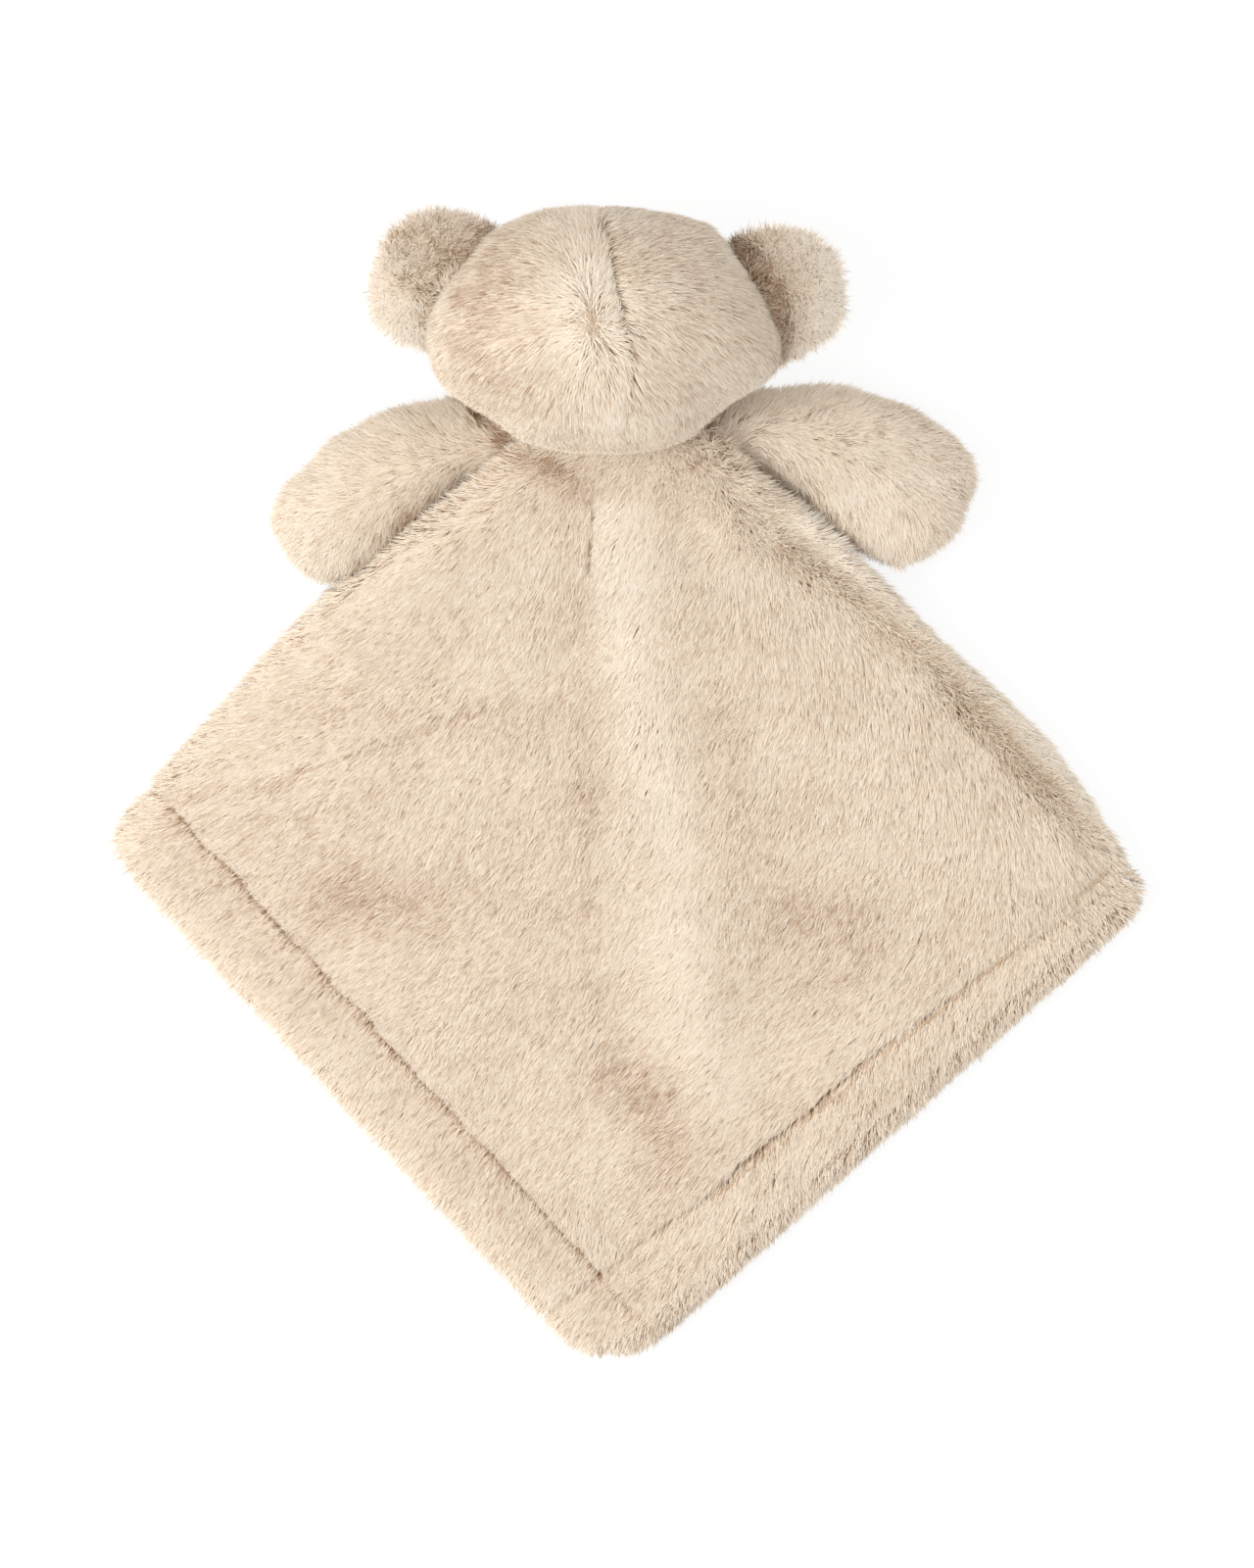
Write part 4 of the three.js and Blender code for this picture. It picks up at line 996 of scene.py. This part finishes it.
def grow_on_stuffed(name, body, cloth, guides, painted_light_marks, per_mm2=1.25, length=PILE, fall=0.8, pale=0.0,
                    woolly=0.0, gather=0.5, width=0.25, waver=0.12, paler_root=0.0, trims=()):
    """Fur on a stuffed piece. It is paler by pale, and as ruffled as woolly says, from 0 to 1."""
    face = body == "head"
    chance = np.random.default_rng(SEED + len(name))
    place, out = grow_from(cloth, per_mm2, chance)
    keep = ~faces_down(out, 0.3) | (chance.random(len(place)) < HIDDEN_SHARE)
    place, out = place[keep], out[keep]
    angle, agreement = guides(place, out) if callable(guides) else lie_of(place, guides, 6)
    angle = angle + 0.10 * wander(place, 23, 5) + waver * wander(place, 7, 6)
    parting = ruffled(agreement)
    ruffle = np.maximum(parting, woolly)
    if face:
        ruffle = np.maximum(ruffle, 0.45 * near_line(place, NECK_EDGE, 5))
        paler_root = np.maximum(paler_root, 0.55 * near_line(place, HEAD_SEAM[:7], 1.8))
    angle += chance.normal(0, 1, len(place)) * (0.10 + 0.8 * ruffle)
    # Painted highlight and painted shade from the marks, only where the cloth faces up
    paler, higher = painted_light_and_height(place, painted_light_marks)
    seen_from_above = np.clip((out[:, 2] + 0.15) / 0.35, 0, 1)
    paler, higher = paler * seen_from_above, 1 + (higher - 1) * seen_from_above
    size = length * (1 + 0.05 * wander(place, 11, 7))
    height = RISE_ON_STUFFED * (1 + 0.06 * wander(place, 9, 8)) * higher
    tone = 0.53 + pale + paler + 0.02 * wander(place, 26, 9) + 0.02 * wander(place, 9, 12)
    tone += chance.normal(0, 0.05 + 0.08 * woolly, len(place))
    if face:
        clear, share = clear_of_face(place, out)
        size, height = size * share, height * share
        place, out, angle, size, height, tone, ruffle, parting, paler_root = (
            v[clear] for v in (place, out, angle, size, height, tone, ruffle, parting, paler_root))
    blades = strands(place, out, along_cloth(angle, out, fall), size, height, tone, chance, ruffle,
                     np.zeros(len(place)), gather=gather, width=width,
                     paler_root=np.maximum(np.minimum(1.3 * parting, 0.8), paler_root),
                     even=np.minimum(1.5 * parting, 1))
    for trim in trims:
        trim(blades, place, chance)
    fur_piece(f"{name}_fur", body, blades)


BARE = 1.6  # mm round a stitched feature in which no strand grows
SHORTEST = 0.3  # the share of its length that a strand next to it keeps
REGROWTH = 14  # mm further out in which that share grows by 1


def clear_of_face(place, out):
    """Which strands stand clear of the nose, mouth and eyes, and how short the fur is clipped round them."""
    gap = np.full(len(place), 99.0)
    front = out[:, 2] < 0.3
    gap[front] = gap_to_features(place[front], (BARE + REGROWTH) * MM) / MM
    return gap > BARE, np.clip(SHORTEST + (gap - BARE) / REGROWTH, SHORTEST, 1)


def seam_of_head(y):
    """How far to the right the seam down the back of the head lies at a height in plan, in mm."""
    heights, places = zip(*sorted((b, a) for a, b in HEAD_SEAM))
    return np.interp(y, heights, places)


def lie_of_head(place, out):
    """The two back panels' fur parts along the seam, and the face's spreads from the muzzle."""
    x, y = place[:, 0] / MM, place[:, 1] / MM
    left = x < seam_of_head(y)
    left_lie, right_lie = lie_of(place, LEFT_HEAD_LIE, 6), lie_of(place, RIGHT_HEAD_LIE, 6)
    angle, agreement = (np.where(left, a, b) for a, b in zip(left_lie, right_lie))
    muzzle, _ = middle_and_reach(*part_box("muzzle"))
    spread = np.arctan2(y - muzzle[1] / MM, x - muzzle[0] / MM)
    front = faces_down(out, 0.1)
    return np.where(front, spread, angle), np.where(front, 1, agreement)


def part_at_head_seam(blades, place, chance):
    """The left panel's tips hang a little over the seam, and the right panel's stop at it. On the crown
    both cover it."""
    points = blades[0]
    left = np.repeat(place[:, 0] / MM < seam_of_head(place[:, 1] / MM), len(points) // len(place))
    back = points[:, 0, 2] > 50 * MM
    x, y = points[..., 0] / MM, points[..., 1] / MM
    seam = seam_of_head(y)
    crown = np.clip((y - 146) / 6, 0, 1) * 9
    over = chance.uniform(0.3, 3.4, len(points))[:, None] + crown
    x = np.where((left & back)[:, None], np.minimum(x, seam + over), x)
    x = np.where((~left & back)[:, None], np.maximum(x, seam - 0.4 - crown), x)
    points[..., 0] = x * MM


def middle_and_reach(low, high):
    """The middle of a box, and how far it reaches from there with 5 mm to spare."""
    return (np.array(low) + np.array(high)) / 2, (np.array(high) - np.array(low)) / 2 + 5 * MM


def let_out(points, low, high, outline):
    """Lets a stuffed piece out, or takes it in, round its outline in plan. The outline is a list of
    directions from the middle between low and high, in degrees, each with how many mm it is let out there."""
    middle, reach = middle_and_reach(low, high)
    away = points - middle
    towards = np.degrees(np.arctan2(away[:, 1], away[:, 0])) % 360
    by = np.interp(towards, *zip(*outline), period=360)
    far = np.hypot(away[:, 0] / reach[0], away[:, 1] / reach[1])
    by *= np.clip(far, 0, 1) * np.clip(1.15 - (away[:, 2] / reach[2]) ** 2, 0, 1)
    moved = points.copy()
    moved[:, :2] += unit(away[:, :2]) * by[:, None] * MM
    return moved


HEAD_OUTLINE = [
    (0, 1.2), (10, -0.8), (19, -2.2), (27, -2.0), (36, 0), (44, 1.6), (62, 1.3), (90, 1.8), (118, 2.1),
    (138, 0.8), (152, -0.9), (160, -1.2), (168, 0.6), (176, 2.2), (184, 3.4), (195, 2.2), (204, 0.6),
    (213, -1.4), (222, -2.2), (240, 0.6), (276, 1.6), (297, 1.2), (308, -0.5), (318, -3.2), (325, -4.4),
    (333, -3.0), (341, 0.4), (348, 2.4), (354, 2.3),
]
LEFT_ARM_OUTLINE = [
    (0, -1.5), (50, -2), (83, -1.8), (107, -0.5), (140, 0), (167, 1.2), (184, 2.7), (191, 2.8), (199, 1.2),
    (228, 0.6), (242, 2.0), (270, 3.4), (300, 4.4), (330, 3),
]
RIGHT_ARM_OUTLINE = [
    (0, 1.6), (15, 2.6), (33, 1.6), (50, 0.8), (70, 0), (90, -0.2), (133, -2), (180, 1), (215, 3), (250, 5.0),
    (268, 6.4), (282, 6.0), (292, 4.4), (302, 2.0), (316, 0.6), (327, 0.8), (350, 0),
]
LEFT_EAR_OUTLINE = [
    (0, 0), (60, 2.2), (90, 3.0), (120, 1.4), (150, -0.2), (180, 2.4), (210, 4.6), (234, 5.2), (260, 3.6),
    (300, 0),
]
RIGHT_EAR_OUTLINE = [(0, 1.4), (45, 2.8), (90, 1.8), (135, 0.8), (180, 0), (270, 0.4), (322, 2.4)]


def shape_of_ear(side, outline, lower):
    """An ear let out to its outline, which sits nearer the blanket than its plain solid by lower mm."""
    low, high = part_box(f"ear_{side}_back")
    return lambda points: let_out(points, low, high, outline) - np.array([0, lower, 0]) * MM


UNDER_NECK = 11 * MM  # how much of an arm's filling lies under the neck, out of sight


def shape_of_left_arm(points):
    """Its paw hangs a little lower than its root."""
    low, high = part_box("arm_left_filling")
    high.x -= UNDER_NECK
    share = np.clip((high.x - points[:, 0]) / (high.x - low.x), 0, 1)
    lowered = points - np.stack([share * 0, share * 1.8 * MM, share * 0], 1)
    return let_out(lowered, low, high, LEFT_ARM_OUTLINE)


def shape_of_right_arm(points):
    low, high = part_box("arm_right_filling")
    low.x += UNDER_NECK
    return let_out(points, low, high, RIGHT_ARM_OUTLINE)


def fuller_head(points):
    """Fills out the jowls and the corners of the crown, which an egg shape lacks."""
    low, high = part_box("head_filling")
    middle, reach = middle_and_reach(low, high)
    away = points - middle
    share = np.abs(away / reach)[:, :2]
    egg = np.sqrt((share**2).sum(1))
    full = ((share**2.4).sum(1)) ** (1 / 2.4)
    grow = egg / np.maximum(full, 1e-6)
    level = np.clip(1 - (away[:, 2] / reach[2]) ** 2, 0, 1)
    away[:, :2] *= (1 + (grow - 1) * level)[:, None]
    up = away[:, 1] / reach[1]
    away[:, 0] *= 1.015 - np.where(away[:, 0] > 0, 0.055, 0.025) * up
    away[:, 1] -= (1.2 + 1.2 * np.clip(up, 0, 1) ** 2) * MM
    return let_out(middle + away, low, high, HEAD_OUTLINE)


def make_head():
    solids = ["head_back_left", "head_back_right", "head_gusset", "face_left", "face_right", "head_filling"]
    form = {"depth": 4.2, "voxel": 3.2, "reshape": fuller_head}
    cloth = make_stuffed_cloth("head", "head", solids, simulated=True, **form)
    grow_on_stuffed("head", "head", cloth, lie_of_head, HEAD_PAINTED_LIGHT_MARKS, fall=0.35, trims=[part_at_head_seam])


def make_muzzle():
    cloth = make_stuffed_cloth("muzzle", "head", ["muzzle"])
    grow_on_stuffed("muzzle", "head", cloth, lie_of_head, [], per_mm2=1.0, length=5.5, paler_root=0.3)


def make_ear(side, outline, guides, painted_light_marks, lower, pale):
    name = f"ear_{side}"
    cloth = make_stuffed_cloth(name, name, [f"{name}_back", f"{name}_front"], voxel=1.5,
                               meets=[f"head_back_{side}", f"face_{side}"],
                               reshape=shape_of_ear(side, outline, lower))
    grow_on_stuffed(name, name, cloth, guides, painted_light_marks, per_mm2=2.6, length=6.2, pale=pale, woolly=1.0,
                    gather=0.3, width=0.2)


def make_arm(side, reshape, guides, painted_light_marks, pale):
    name = f"arm_{side}"
    cloth = make_stuffed_cloth(name, name, [f"{name}_back", f"{name}_front", f"{name}_filling"],
                               simulated=True, voxel=3.0, reshape=reshape)
    grow_on_stuffed(name, name, cloth, guides, painted_light_marks, per_mm2=1.6, pale=pale, woolly=0.12, waver=0.10,
                    paler_root=0.3)


def main():
    add_camera()
    add_studio()
    add_floor()
    MATERIALS["fur"] = fur_material("beige faux fur")
    MATERIALS["hem_fur"] = fur_material("beige hem fur")
    MATERIALS["backing"] = backing_material()
    finish_stitching()
    make_blanket()
    make_head()
    make_muzzle()
    make_ear("left", LEFT_EAR_OUTLINE, LEFT_EAR_LIE, LEFT_EAR_PAINTED_LIGHT_MARKS, lower=1.8, pale=0.14)
    make_ear("right", RIGHT_EAR_OUTLINE, RIGHT_EAR_LIE, RIGHT_EAR_PAINTED_LIGHT_MARKS, lower=2.6, pale=0.18)
    make_arm("left", shape_of_left_arm, LEFT_ARM_LIE, LEFT_ARM_PAINTED_SHADE_MARKS, pale=0.03)
    make_arm("right", shape_of_right_arm, RIGHT_ARM_LIE, RIGHT_ARM_PAINTED_SHADE_MARKS, pale=0.07)


main()
